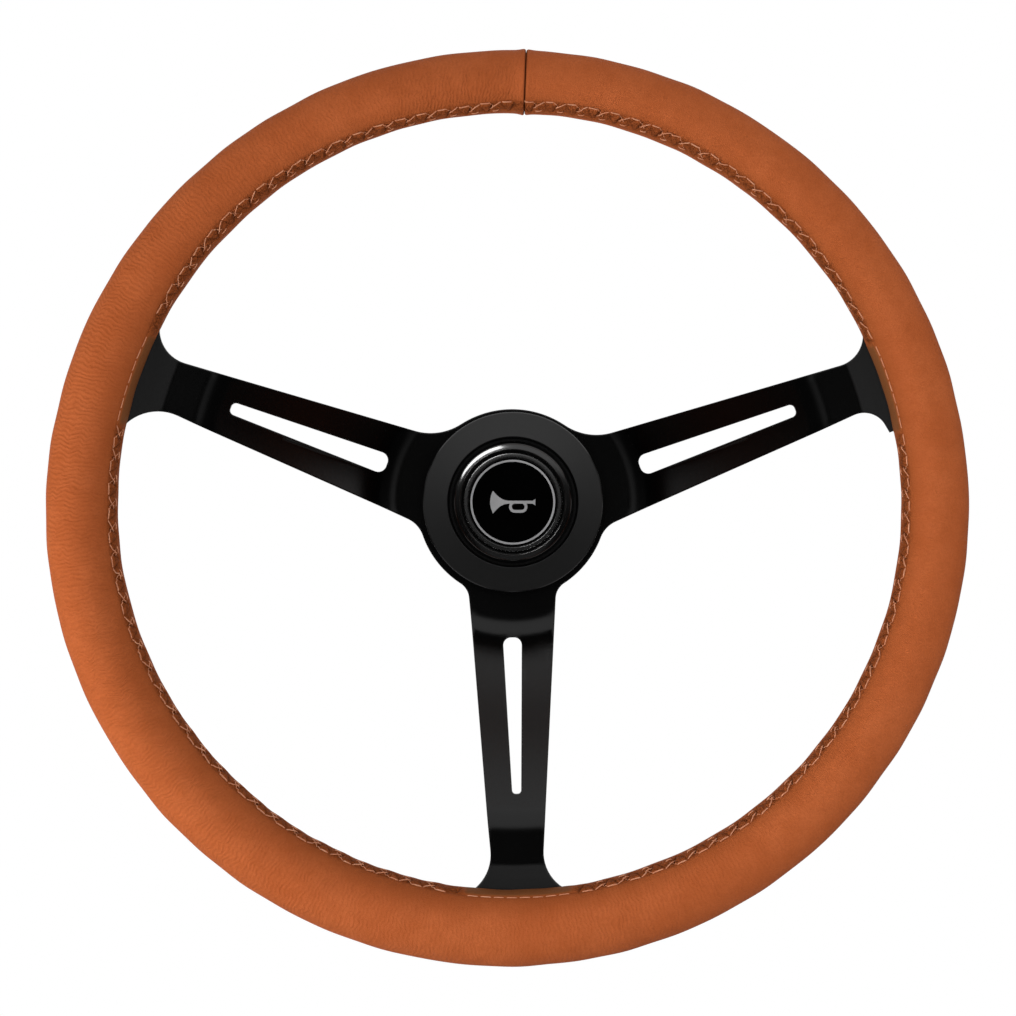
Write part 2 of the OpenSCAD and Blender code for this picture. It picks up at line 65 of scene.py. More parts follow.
class Value:
    """A number on a node socket, which takes part in Python sums."""

    def __init__(self, finish, socket):
        self.finish = finish
        self.socket = socket

    def math(self, operation, *others):
        return self.finish.math(operation, self, *others)

    def __add__(self, other):
        return self.math("ADD", other)

    def __sub__(self, other):
        return self.math("SUBTRACT", other)

    def __rsub__(self, other):
        return self.finish.math("SUBTRACT", other, self)

    def __mul__(self, other):
        return self.math("MULTIPLY", other)

    __radd__ = __add__
    __rmul__ = __mul__

    def rise(self, start, end):
        """0 up to start, 1 from end on, and a smooth rise between them."""
        inputs = {"Value": self, "From Min": start, "From Max": end}
        return self.finish.node("ShaderNodeMapRange", {"interpolation_type": "SMOOTHSTEP"}, inputs)


class Finish:
    """A material or the world, put together node by node."""

    def __init__(self, name, owner=None):
        self.owner = owner or bpy.data.materials.new(name)
        self.owner.use_nodes = True
        self.tree = self.owner.node_tree
        self.tree.nodes.clear()

    def node(self, kind, settings=None, inputs=None, output=0):
        """Adds a node with its settings and the values or links of its sockets, and gives one output."""
        made = self.tree.nodes.new(kind)
        for key, value in (settings or {}).items():
            setattr(made, key, value)
        for key, value in (inputs or {}).items():
            socket = made.inputs[key]
            if isinstance(value, Value):
                self.tree.links.new(value.socket, socket)
            else:
                socket.default_value = (*value, 1.0) if socket.type == "RGBA" else value
        return Value(self, made.outputs[output]) if made.outputs else None

    def math(self, operation, *terms):
        return self.node("ShaderNodeMath", {"operation": operation}, dict(enumerate(terms)))

    def mix(self, factor, first, second):
        """Colour between first and second."""
        return self.node("ShaderNodeMix", {"data_type": "RGBA"}, {0: factor, 6: first, 7: second}, 2)

    def place(self, scale=(1000.0, 1000.0, 1000.0)):
        """Object coordinates, in millimetres unless the scale says otherwise."""
        spot = self.node("ShaderNodeTexCoord", output=3)
        return self.node("ShaderNodeVectorMath", {"operation": "MULTIPLY"}, {0: spot, 1: scale})

    def far_from_axis(self):
        """Distance from the wheel's axis, in millimetres."""
        spot = self.place((1000.0, 0.0, 1000.0))
        return self.node("ShaderNodeVectorMath", {"operation": "LENGTH"}, {0: spot}, 1)

    def mark(self, name):
        """A number that the mesh keeps at each vertex."""
        return self.node("ShaderNodeAttribute", {"attribute_name": name}, output=2)

    def vector(self, x, y, z=0.0):
        """Three numbers as one vector."""
        return self.node("ShaderNodeCombineXYZ", inputs={0: x, 1: y, 2: z})

    def noise(self, where, scale, detail=2.0, roughness=0.5, distortion=0.0):
        inputs = {"Vector": where, "Scale": scale, "Detail": detail}
        inputs |= {"Roughness": roughness, "Distortion": distortion}
        return self.node("ShaderNodeTexNoise", inputs=inputs)

    def bump(self, height, depth, strength=1.0, under=None):
        """Normal of a surface that rises by depth metres where height is 1."""
        inputs = {"Height": height, "Distance": depth, "Strength": strength}
        if under is not None:
            inputs["Normal"] = under
        return self.node("ShaderNodeBump", inputs=inputs)

    def surface(self, colour, roughness, normal, gloss=0.5, metallic=0.0):
        """Ends the material with a principled shader."""
        inputs = {"Base Color": colour, "Roughness": roughness, "Normal": normal}
        inputs |= {"Specular IOR Level": gloss, "Metallic": metallic}
        self.end(self.node("ShaderNodeBsdfPrincipled", inputs=inputs))
        return self.owner

    def end(self, shader):
        """Links the shader to the output."""
        kind = "World" if isinstance(self.owner, bpy.types.World) else "Material"
        self.node("ShaderNodeOutput" + kind, inputs={"Surface": shader})


def grey(level):
    """Colour with the same red, green and blue."""
    return (level, level, level)


def tan_leather():
    """Smooth tan hide: pores, creases where it was pulled round the rim, and stitched folds, with painted
    shade in its folds and creases, on its inner side, at its edges and beside the spoke ends.
    """
    f = Finish("tan_leather")
    spot = f.place()
    along, across = f.mark("along"), f.mark("across")
    crease, wrinkle, diagonal = f.mark("crease"), f.mark("wrinkle"), f.mark("diagonal")
    mottle = f.noise(spot, 0.035, 3.0, 0.55)
    patch = f.noise(spot, 0.16, 3.0, 0.6)
    speck = f.noise(spot, 1.1, 3.0, 0.65)
    cells = {"Vector": spot, "Scale": 1.35, "Randomness": 1.0}
    pore_edge = f.node("ShaderNodeTexVoronoi", {"feature": "DISTANCE_TO_EDGE"}, cells).rise(0.0, 0.16)
    # Fine creases across the grip, and slanted ones beside the joint. Noise bends them and breaks them up.
    bend = f.noise(f.vector(along * 0.11, across * 0.19), 1.0, 2.0, 0.5) * 19
    broken = f.noise(f.vector(along * 0.34, across * 0.22, 7.0), 1.0, 2.0, 0.55).rise(0.34, 0.62)
    ripple = 0.5 + (0.3 + 0.2 * broken) * (along * 3.4 + bend).math("SINE")
    slant_bend = f.noise(f.vector(along * 0.2, across * 0.28, 3.0), 1.0, 2.0, 0.5) * 14
    slanted = 0.5 + (0.25 + 0.25 * broken) * (along * 3.9 - across * 0.75 + slant_bend).math("SINE")
    fold = ripple * wrinkle + slanted * diagonal
    seam = f.mark("seam")
    pucker = f.noise(f.vector(along * 0.55, across * 0.45), 1.0, 3.0, 0.6, 0.8).rise(0.35, 0.68)
    base = f.mix(mottle.rise(0.3, 0.7), (0.422, 0.1, 0.029), (0.485, 0.122, 0.038))
    base = f.mix(patch.rise(0.35, 0.75) * 0.35, base, (0.36, 0.079, 0.0195))
    base = f.mix(speck.rise(0.3, 0.75) * 0.36 + (1 - pore_edge) * 0.1, base, (0.30, 0.069, 0.018))
    # Painted shade in the troughs of the fine and slanted creases
    base = f.mix((wrinkle + diagonal - fold) * 0.2, base, (0.24, 0.055, 0.014))
    # Painted shade on the inner side of the grip, which faces the hub
    base = f.mix(f.mark("inner") * 0.58, base, (0.2, 0.05, 0.012))
    # Darker along the seam, and more where the hide puckers
    base = f.mix(seam * (0.15 + 0.32 * pucker), base, (0.18, 0.045, 0.01))
    # Painted shade where the hide is seen at a slant, towards the grip's edges
    slant = f.node("ShaderNodeLayerWeight", inputs={"Blend": 0.5}, output=1)
    base = f.mix(slant * slant * 0.3, base, (0.25, 0.062, 0.015))
    # Painted shade on the hide between the spoke ends and the stitches
    base = f.mix(f.mark("hem") * 0.8, base, (0.15, 0.06, 0.022))
    # Painted shade in the lacing folds, in the stitch grooves and at the joint
    base = f.mix(crease, base, (0.045, 0.013, 0.005))
    rough = 0.58 + mottle * 0.08 - pore_edge * 0.04 + crease * 0.2
    grain = f.bump(pore_edge + f.noise(spot, 2.6, 2.0) * 0.6, 0.00014, 0.75)
    pulled = f.bump(fold, 0.00024, 1.0, grain)
    puckered = f.bump(pucker * seam, 0.0009, 1.0, pulled)
    return f.surface(base, rough, puckered, 0.03)


def thread_finish():
    """Waxed sewing thread, twisted from two strands."""
    f = Finish("tan_thread")
    along, round_it = f.mark("along"), f.mark("across")
    shade = (along * 11.0 + round_it * 6.283).math("SINE").rise(-1.0, 1.0)
    tone = f.noise(f.place(), 0.25, 2.0)
    # Painted shade in the grooves between the two strands, and a painted highlight on their crowns
    base = f.mix(shade, (0.44, 0.15, 0.07), (0.70, 0.28, 0.14))
    base = f.mix(tone.rise(0.4, 0.75) * 0.5, base, (0.80, 0.42, 0.25))
    return f.surface(base, 0.5, f.bump(shade, 0.00008), 0.4)


# Between these distances from the axis, at the fold into the flares, the black coating turns to a lighter
# grey painted on the spoke ends as a reflection
FLARE_SHEEN = (149.3, 151.3)


def black_coat(name, colour, roughness, peel=0.00003, wear=0.0, gloss=0.5, ends=None):
    """Baked black coating with a faint orange peel, and a lighter grey painted on the flared ends of the
    spokes as a reflection.
    """
    f = Finish(name)
    spot = f.place()
    peel_height = f.noise(spot, 0.55, 2.0, 0.45)
    cloud = f.noise(spot, 0.03, 3.0, 0.6)
    dust = f.noise(spot, 3.2, 2.0, 0.6)
    base = f.mix(cloud.rise(0.3, 0.7), colour, tuple(c * 1.35 for c in colour))
    rough = roughness + cloud * 0.04 + dust.rise(0.62, 0.8) * wear
    # Painted reflection: a lighter, streaked grey on the flared spoke ends
    if ends:
        radius = f.far_from_axis()
        streaks = f.noise(f.vector(radius * 0.8, cloud), 1.0, 3.0, 0.6)
        base = f.mix(radius.rise(*FLARE_SHEEN) * (0.7 + 0.6 * streaks), base, ends)
    return f.surface(base, rough, f.bump(peel_height, peel), gloss)


def turned_black(name, colour, roughness):
    """Satin black anodised metal with the fine rings that turning leaves."""
    f = Finish(name)
    rings = f.noise(f.vector(f.far_from_axis() * 3.1, 0.0), 1.0, 2.0, 0.6)
    cloud = f.noise(f.place(), 0.05, 3.0, 0.6)
    base = f.mix(rings, colour, tuple(c * 1.3 for c in colour))
    return f.surface(base, roughness + cloud * 0.08, f.bump(rings, 0.00001), 0.43)


def moulded(name, colour, roughness, grain=0.00002, scale=1.4, gloss=0.5):
    """Moulded plastic with a fine spark-eroded grain."""
    f = Finish(name)
    spot = f.place()
    fine = f.noise(spot, scale, 3.0, 0.6)
    cloud = f.noise(spot, 0.06, 2.0)
    base = f.mix(cloud.rise(0.3, 0.7), colour, tuple(min(1.0, c * 1.25) for c in colour))
    return f.surface(base, roughness + fine * 0.06, f.bump(fine, grain), gloss)


def bare_metal(name, colour, roughness, tarnish, brushed=(0.2, 3.0, 0.2)):
    """Bare metal with drawn lines, light stains and a duller tone in patches."""
    f = Finish(name)
    lines = f.noise(f.place(tuple(1000.0 * b for b in brushed)), 1.0, 3.0, 0.65)
    stain = f.noise(f.place(), 0.22, 4.0, 0.6)
    base = f.mix(stain.rise(0.45, 0.75) * 0.6, colour, tarnish)
    rough = roughness + lines * 0.14 + stain.rise(0.5, 0.8) * 0.15
    return f.surface(base, rough, f.bump(lines, 0.00001), metallic=1.0)


def foam_skin():
    """Self-skinned foam of the grip."""
    f = Finish("foam_skin")
    spot = f.place()
    cells = f.node("ShaderNodeTexVoronoi", inputs={"Vector": spot, "Scale": 1.1})
    base = f.mix(cells.rise(0.0, 0.8), grey(0.02), (0.045, 0.043, 0.04))
    return f.surface(base, 0.85, f.bump(cells, 0.00015))


LEATHER = tan_leather()
THREAD = thread_finish()
# The ends colour is a painted reflection on the flared spoke ends
SPOKE_BLACK = black_coat("spoke_black", grey(0.0003), 0.19, 0.000015, 0.05, gloss=0.24, ends=grey(0.0075))
RING_BLACK = turned_black("ring_black", grey(0.0015), 0.28)
BUTTON_BLACK = moulded("button_black", grey(0.0008), 0.11, 0.000002, 0.4)
INSERT_BLACK = moulded("insert_black", grey(0.003), 0.24, 0.000006)
BADGE_BLACK = moulded("badge_black", grey(0.0004), 0.06, 0.000002, gloss=0.25)
BADGE_SILVER = bare_metal("badge_silver", (0.66, 0.66, 0.67), 0.3, (0.5, 0.5, 0.52))
CUP_BLACK = black_coat("cup_black", grey(0.0012), 0.5, wear=0.15, gloss=0.12)
ZINC = bare_metal("zinc_plate", (0.55, 0.56, 0.58), 0.32, (0.38, 0.37, 0.34))
SNAP_BLACK = black_coat("phosphated_steel", grey(0.001), 0.5, wear=0.1, gloss=0.1)
SPRING_STEEL = bare_metal("spring_steel", grey(0.5), 0.3, grey(0.3))
BRASS = bare_metal("brass", (0.78, 0.53, 0.2), 0.28, (0.45, 0.27, 0.1))
HOOP_STEEL = bare_metal("hoop_steel", (0.36, 0.35, 0.34), 0.45, (0.16, 0.1, 0.06))
NYLON = moulded("nylon", (0.55, 0.5, 0.38), 0.45)
FOAM = foam_skin()

# Meshes


class Shape:
    """Points and faces of one piece while it is put together."""

    def __init__(self):
        self.points = []
        self.faces = []
        self.marks = []
        self.count = 0

    def add(self, points, **marks):
        """Adds points and gives their numbers, in the same arrangement."""
        points = np.asarray(points, float)
        flat = points.reshape(-1, 3)
        self.points.append(flat)
        self.marks.append({k: np.broadcast_to(v, points.shape[:-1]).reshape(-1) for k, v in marks.items()})
        numbers = np.arange(self.count, self.count + len(flat)).reshape(points.shape[:-1])
        self.count += len(flat)
        return numbers

    def sheet(self, numbers):
        """Quads between the rows and columns of a grid of numbers."""
        a, b, c, d = numbers[:-1, :-1], numbers[:-1, 1:], numbers[1:, 1:], numbers[1:, :-1]
        self.faces.append(np.stack([a, b, c, d], axis=-1).reshape(-1, 4))

    def band(self, first, second):
        """Quads between two closed loops of numbers."""
        self.sheet(np.stack([np.append(first, first[0]), np.append(second, second[0])]))

    def tube(self, rows, closed=False):
        """Bands between loops that follow each other, and back to the first one if closed."""
        for first, second in zip(rows[:-1], rows[1:]):
            self.band(first, second)
        if closed:
            self.band(rows[-1], rows[0])

    def fan(self, loop, centre):
        """Triangles between a closed loop of numbers and one more."""
        self.faces.append(np.stack([loop, np.roll(loop, -1), np.full(len(loop), centre)], axis=-1))

    def make(self, name, finish, body, replaced=()):
        """Turns the points and faces into a piece that rides on a body."""
        faces = [list(map(int, face)) for block in self.faces for face in block]
        mesh = bpy.data.meshes.new(name)
        mesh.from_pydata(stand(np.concatenate(self.points)).tolist(), [], faces)
        for key in sorted({k for m in self.marks for k in m}):
            values = np.concatenate([m.get(key, np.zeros(len(p))) for m, p in zip(self.marks, self.points)])
            mesh.attributes.new(key, "FLOAT", "POINT").data.foreach_set("value", values.astype(np.float32))
        work = bmesh.new()
        work.from_mesh(mesh)
        bmesh.ops.recalc_face_normals(work, faces=work.faces)
        work.to_mesh(mesh)
        work.free()
        mesh.shade_smooth()
        mesh.materials.append(finish)
        piece = bpy.data.objects.new(name, mesh)
        scene.collection.objects.link(piece)
        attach(piece, body)
        if replaced:
            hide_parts(*replaced)
        return piece


def heading(a, b):
    """Direction from a to b."""
    return math.atan2(b[1] - a[1], b[0] - a[0])


def rounded(points, radii, steps=6, closed=True):
    """Outline with rounded corners, and a point just before and after each so that flats stay flat."""
    points = [np.array(p, float) for p in points]
    n = len(points)
    out = []
    for i, (p, r) in enumerate(zip(points, radii)):
        if r <= 0 or (not closed and i in (0, n - 1)):
            out.append(p)
            continue
        a, b = points[i - 1], points[(i + 1) % n]
        h0 = heading(a, p)
        turn = (heading(p, b) - h0 + math.pi) % (2 * math.pi) - math.pi
        side = -1 if turn < 0 else 1
        cut = r * math.tan(abs(turn) / 2)
        back, on = (a - p) / np.linalg.norm(a - p), (b - p) / np.linalg.norm(b - p)
        start = p + cut * back
        centre = start + side * r * np.array([-math.sin(h0), math.cos(h0)])
        spare = 0.25 * r
        out.append(start + spare * back)
        for k in range(steps + 1):
            h = h0 + turn * k / steps
            out.append(centre - side * r * np.array([-math.sin(h), math.cos(h)]))
        out.append(p + (cut + spare) * on)
    return np.array(out)


def swept(shape, profile, steps):
    """Adds a row of points round the axis for each (radius, height) of a profile."""
    angle = np.linspace(0, 2 * math.pi, steps, endpoint=False)
    profile = np.asarray(profile, float)
    r, z = profile[:, 0][:, None], profile[:, 1][:, None]
    return shape.add(np.stack([r * np.cos(angle), r * np.sin(angle), z + 0 * angle], axis=-1))


def turned(shape, profile, steps=256):
    """Adds the solid that a closed profile sweeps round the axis."""
    shape.tube(swept(shape, profile, steps), closed=True)


def capped(shape, profile, steps=256):
    """As turned, for a profile that starts and ends on the axis."""
    rows = swept(shape, profile[1:-1], steps)
    shape.tube(rows)
    ends = shape.add([[0, 0, profile[0][1]], [0, 0, profile[-1][1]]])
    shape.fan(rows[0], ends[0])
    shape.fan(rows[-1], ends[1])


# Grip

# Height of the grip's centre line, the grip's radius, and the radius of the rim's centre line
DISH = 75.0
GRIP_R = 14.5
RIM_R = 176.0
# Radius and height of the seam, and distance of the camera from the hub
SEAM_R, SEAM_Z = 165.0, 85.0
CAMERA_FAR = 2460.0
# Centre, radius and slow waves (waves per turn, cosine, sine) of the lines that the grip's outer and
# inner edges follow. The leather is thinner at the top than at the bottom, so they aren't concentric.
OUTER_EDGE = (-1.7, -2.2, 190.6, ((2, 0.7, 0.41), (3, -0.22, -0.07)))
INNER_EDGE = (-0.8, 0.25, 161.65, ((2, 0.72, -0.1), (3, -0.19, -0.39)))
# Where the two ends of the leather meet, and the gap between them
JOINT = math.radians(88.15)
JOINT_GAP = 0.2
# Stitches round the wheel. They are closest near the top right and widest at the lower left.
STITCHES = 108
PITCH = 9.5
PITCH_SPREAD = 0.077
WIDEST = math.radians(250)
# How far the front row of stitches lies from the inner edge, seen from the front, at angles round the wheel
STITCH_ROW = [
    (-6, 3.6), (11, 3.3), (30, 3.3), (40, 4.2), (52, 5.0), (68, 5.8), (80, 5.6), (88, 5.0), (91, 4.9),
    (95, 4.4), (102, 3.7), (114, 4.5), (126, 5.3), (137, 5.9), (150, 4.4), (156, 3.6), (168, 3.5), (186, 4.1),
    (198, 3.7), (210, 3.1), (225, 2.8), (246, 2.6), (258, 2.6), (263, 3.1), (278, 3.1), (285, 3.2),
    (296, 3.6), (308, 3.7), (330, 3.4),
]
# How far the rear row of stitches and the end of the seam lie behind the front row
REAR_ROW = 5.3
SEAM_WIDTH = 6.6
# How far the seam seems to move outward for each millimetre that it comes nearer to the camera
LOOM = SEAM_R / (CAMERA_FAR - SEAM_Z)
# Where each flared spoke end goes into the grip, in degrees
FLARES = [(10.8, 23.5), (155.3, 168.3), (263.4, 278.6)]


def reach(theta, edge):
    """Distance from the axis to an edge line of the grip."""
    x, y, r, waves = edge
    along = x * np.cos(theta) + y * np.sin(theta)
    far = along + np.sqrt(r * r - x * x - y * y + along * along)
    for times, a, b in waves:
        far = far + a * np.cos(times * theta) + b * np.sin(times * theta)
    return far


def grip_half(theta):
    """Half the width of the grip, seen from the front."""
    return (reach(theta, OUTER_EDGE) - reach(theta, INNER_EDGE)) / 2


def row_place(theta):
    """Where the front row of stitches lies round the grip, in degrees from its innermost line."""
    first, inset = STITCH_ROW[0]
    degrees = (np.degrees(theta) - first) % 360 + first
    inset = np.interp(degrees, *zip(*STITCH_ROW, (first + 360, inset)))
    return np.degrees(np.arccos((1 - inset / grip_half(theta)) / math.hypot(1, LOOM)) - math.atan(LOOM))


def stitch_count(clock):
    """Stitches laid from the joint on, going clockwise by an angle."""
    start = JOINT - WIDEST
    return STITCHES / (2 * math.pi) * (clock - PITCH_SPREAD * (np.sin(start) - np.sin(start - clock)))


# Angles clockwise from the joint, and how many stitches are laid up to each
CLOCKS = np.linspace(-0.1, 2 * math.pi + 0.1, 4000)
COUNTS = stitch_count(CLOCKS)


def smooth(value, start, end):
    """Smooth rise from 0 at start to 1 at end."""
    t = np.clip((value - start) / (end - start), 0, 1)
    return t * t * (3 - 2 * t)


def at_flare(theta, margin=1.5):
    """1 where a spoke goes into the grip, 0 away from it."""
    degrees = np.degrees(theta) % 360
    total = np.zeros_like(degrees)
    for start, end in FLARES:
        total += smooth(degrees, start - margin, start + 0.3) * (1 - smooth(degrees, end - 0.3, end + margin))
    return total


def near_segment(u, v, a, b):
    """Distance from (u, v) to the segment from a to b."""
    ax, ay = a
    dx, dy = b[0] - ax, b[1] - ay
    t = np.clip(((u - ax) * dx + (v - ay) * dy) / (dx * dx + dy * dy), 0, 1)
    return np.hypot(u - ax - t * dx, v - ay - t * dy)


# Ends, depth and width of the folds that the lacing pulls into the leather. An end is how far it lies along
# one stitch and past the front row, and minus is behind that row.
FOLDS = [
    ((5.1, -1.0), (2.9, -6.6), 0.7, 0.42),
    ((-0.5, -0.9), (2.3, -6.6), 0.42, 0.36),
    ((5.4, -2.2), (7.8, -5.0), 0.3, 0.3),
    ((5.3, -2.4), (8.4, -0.6), 0.3, 0.3),
]
WAVES = [(chance.uniform(0, 6.28), chance.uniform(0, 6.28)) for _ in range(8)]


def lacing_folds(u, v, jitter):
    """Depth of the folds, u millimetres along a stitch and v past the front row."""
    folds = np.zeros_like(u)
    for a, b, depth, width in FOLDS:
        for shift in (-PITCH, 0.0, PITCH):
            near = near_segment(u + shift + 0.3 * jitter, v, a, b)
            folds = np.maximum(folds, depth * (1 + 0.35 * jitter) * np.exp(-((near / width) ** 2)))
    return folds


def full_leather(u, v):
    """Height of the leather between the folds: a shield under each front stitch and a tuft beside it."""
    inward = np.clip(-v / SEAM_WIDTH, 0, 1)
    middle = 2.25 + 0.35 * inward
    width = 3.1 * (1 - 0.82 * inward)
    shield = np.clip(1 - ((u - middle) / np.maximum(width, 0.3)) ** 2, 0, 1) * smooth(-v, 0.1, 1.4)
    tuft = np.clip(1 - ((u - 6.6) / 1.9) ** 2, 0, 1) * smooth(-v, 2.6, 3.6) * (1 - smooth(-v, 6.0, 7.2))
    return 0.34 * np.sqrt(shield) * (1 - smooth(-v, 5.6, 7.0)) + 0.28 * np.sqrt(tuft)


def joint_lips(gaps):
    """Height of the two ends of the leather, puffed up and rolled in where they meet."""
    height = 0.0
    for gap, puff in zip(gaps, (0.42, 0.6)):
        gap = np.maximum(gap, 0)
        roll = np.clip(1 - gap / 0.9, 0, 1)
        height = height + puff * np.exp(-((gap / 2.6) ** 2)) - 0.9 * (1 - np.sqrt(1 - roll**2 * 0.98))
    return height


def slow_waves(theta, phi):
    """Unevenness of a hide that was stretched by hand."""
    angle = np.radians(phi)
    height = 0.0
    for i, (a, b) in enumerate(WAVES):
        height = height + 0.045 * np.sin((9 + 7 * i) * theta + a + 1.3 * np.sin(angle * (1 + i % 3) + b))
    return height


def leather_form(theta, phi):
    """Height of the leather over the plain grip, and the painted shade in its folds, in its stitch grooves
    and at the joint.
    """
    clock = (JOINT - theta) % (2 * math.pi)
    stitch = stitch_count(clock)
    # A number from -1 to 1 that differs from stitch to stitch
    which = np.floor(stitch)
    jitter = np.sin(which * 12.9898) * 0.5 + np.sin(which * 4.1414 + 1.7) * 0.5
    u = (stitch % 1.0) * PITCH
    v = (phi - row_place(theta)) * grip_half(theta) * math.pi / 180
    flare = at_flare(theta)
    lace = 1 - flare

    groove = 0.45
    row = np.exp(-((v / groove) ** 2))
    rear = np.exp(-(((v + REAR_ROW) / groove) ** 2)) * lace
    folds = lacing_folds(u, v, jitter) * lace
    hem = 0.3 * flare * smooth(phi, -6.0, 8.0) * (1 - smooth(v, -1.6, -0.4))
    ruck = 0.1 * lace * np.cos(2 * math.pi * (u - 3.9) / PITCH) * (1 - smooth(np.abs(v + 9.0), 3.0, 7.0))
    gaps = [turn * RIM_R - JOINT_GAP / 2 for turn in (clock, 2 * math.pi - clock)]
    raised = slow_waves(theta, phi) + joint_lips(gaps) + full_leather(u, v) * lace + hem + ruck
    lift = raised - 0.3 * row - 0.22 * rear - folds
    # Painted shade in the folds and the stitch grooves, and beside the joint gap
    painted_shade = np.clip(0.75 * folds + 0.1 * row + 0.1 * rear, 0, 1)
    painted_shade = np.maximum(painted_shade, 0.7 * np.exp(-((np.minimum(*gaps) / 0.35) ** 2)))
    return lift, painted_shade


def grip_point(theta, phi, lift):
    """Point of the grip's surface: theta goes round the wheel, phi round the grip from its innermost line."""
    outer, inner = reach(theta, OUTER_EDGE), reach(theta, INNER_EDGE)
    mid, half = (outer + inner) / 2, (outer - inner) / 2
    angle = np.radians(phi)
    r = mid - (half + lift) * np.cos(angle)
    return np.stack([r * np.cos(theta), r * np.sin(theta), DISH + (half + lift) * np.sin(angle)], axis=-1)


def creasing(theta):
    """How strong the fine creases across the grip are, and the slanted ones beside the joint."""
    degrees = np.degrees(theta) % 360
    stops = [0, 20, 60, 86, 88, 100, 125, 150, 190, 230, 258, 272, 285, 305, 340, 360]
    levels = [0.25, 0.2, 0.15, 0.1, 0.3, 0.5, 0.6, 0.75, 0.9, 0.8, 0.45, 0.35, 0.75, 0.4, 0.25, 0.25]
    slanted = smooth(degrees, 88, 90.5) * (1 - smooth(degrees, 101, 113))
    return np.interp(degrees, stops, levels), slanted


def leather_skin():
    """The leather as one closed skin, with twice as many columns where the seam and its stitches are."""
    # Columns of points, in millimetres from the joint. They lie closest beside it.
    ends = np.array([0, 0.15, 0.35, 0.6, 0.9, 1.3, 1.9, 2.7, 3.8])
    length = 2 * math.pi * RIM_R - JOINT_GAP
    even_columns = 914
    even = np.linspace(ends[-1], length - ends[-1], even_columns)
    coarse = np.concatenate([ends[:-1], even, length - ends[-2::-1]])
    fine = np.interp(np.arange(2 * len(coarse) - 1) / 2, np.arange(len(coarse)), coarse)
    # Rows of points, in degrees from the front row of stitches: first over the seam, then round the grip
    dense_rows = np.linspace(-32.0, 10.0, 29)
    plain_rows = np.linspace(10.0, 328.0, 36)[1:-1]
    shape = Shape()

    def grid(rows, travel):
        theta = JOINT - (travel + JOINT_GAP / 2) / RIM_R
        theta, phi = np.meshgrid(theta, rows)
        phi = phi + row_place(theta)
        lift, painted_shade = leather_form(theta, phi)
        across_skin = 1 - smooth(np.abs(phi - 115), 35, 95)
        plain, slanted = creasing(theta)
        past_row = phi - row_place(theta)
        return shape.add(
            grip_point(theta, phi, lift),
            along=(JOINT - theta) % (2 * math.pi) * RIM_R,
            across=phi * GRIP_R * math.pi / 180,
            crease=painted_shade,
            seam=np.exp(-(((past_row + 10) / 13) ** 2)) * (1 - at_flare(theta)),
            inner=1 - smooth(phi, 15, 85),
            hem=at_flare(theta, 0.6) * (1 - smooth(past_row, -5.0, -1.0)),
            wrinkle=plain * across_skin * smooth(past_row, 2, 15),
            diagonal=slanted * smooth(past_row, 0, 8) * (1 - smooth(phi, 105, 140)),
        )

    dense = grid(dense_rows, fine)
    plain = grid(plain_rows, coarse)
    shape.sheet(dense)
    shape.sheet(plain)
    for fine_row, plain_row in ((dense[-1], plain[0]), (dense[0], plain[-1])):
        a, b = plain_row[:-1], plain_row[1:]
        left, mid, right = fine_row[:-2:2], fine_row[1:-1:2], fine_row[2::2]
        for corners in ((a, left, mid), (a, mid, b), (mid, right, b)):
            shape.faces.append(np.stack(corners, axis=-1))
    # The two ends turn in and close the skin, with painted shade on their turned-in faces
    turned_in, middle = 1.15, 14.0
    rows = np.concatenate([dense_rows, plain_rows])
    theta = np.full(len(rows), JOINT)
    for column in (0, -1):
        loop = np.concatenate([dense[:, column], plain[:, column]])
        inside = shape.add(grip_point(theta, rows + row_place(theta), -turned_in), crease=0.8)
        shape.band(loop, inside)
        centre = shape.add(grip_point(theta[:1], rows[:1], -middle), crease=1.0)
        shape.fan(inside, centre[0])
    return shape.make("leather_skin", LEATHER, "wheel", ["leather_cover"])


def foam_ring():
    """The foam under the leather."""
    under = 3.4
    theta = np.linspace(0, 2 * math.pi, 360, endpoint=False)
    phi = np.linspace(0, 360, 28, endpoint=False)
    theta, phi = np.meshgrid(theta, phi)
    shape = Shape()
    shape.tube(shape.add(grip_point(theta, phi, -under)), closed=True)
    return shape.make("foam_ring", FOAM, "wheel", ["foam_grip"])


def lay_thread(shape, theta, phi, height, radius=0.24, sides=6):
    """Adds one stitch: a thread along the leather through the given places."""
    t = np.linspace(0, len(theta) - 1, 4 * (len(theta) - 1) + 1)
    steps = np.arange(len(theta))
    theta, phi, height = (np.interp(t, steps, a) for a in (theta, phi, height))
    soft = np.array([0.25, 0.5, 0.25])
    for values in (theta, phi, height):
        values[1:-1] = np.convolve(values, soft, "valid")
    lift, _ = leather_form(theta, phi)
    path = grip_point(theta, phi, lift + height)
    ahead = np.gradient(path, axis=0)
    ahead /= np.linalg.norm(ahead, axis=1)[:, None]
    out = grip_point(theta, phi, lift + height + 1.0) - path
    side = np.cross(ahead, out)
    side /= np.linalg.norm(side, axis=1)[:, None]
    out = np.cross(side, ahead)
    turn = np.linspace(0, 2 * math.pi, sides, endpoint=False)
    ring = np.cos(turn)[None, :, None] * side[:, None, :] + np.sin(turn)[None, :, None] * out[:, None, :]
    walk = np.concatenate([[0], np.cumsum(np.linalg.norm(np.diff(path, axis=0), axis=1))])
    rows = shape.add(
        path[:, None, :] + radius * ring,
        along=walk[:, None] + np.zeros(sides)[None, :],
        across=turn[None, :] / (2 * math.pi) + np.zeros(len(path))[:, None],
    )
    shape.tube(rows)
    for last, end in ((0, -1), (-1, 1)):
        tip = shape.add([path[last] + end * radius * ahead[last]])
        shape.fan(rows[last], tip[0])


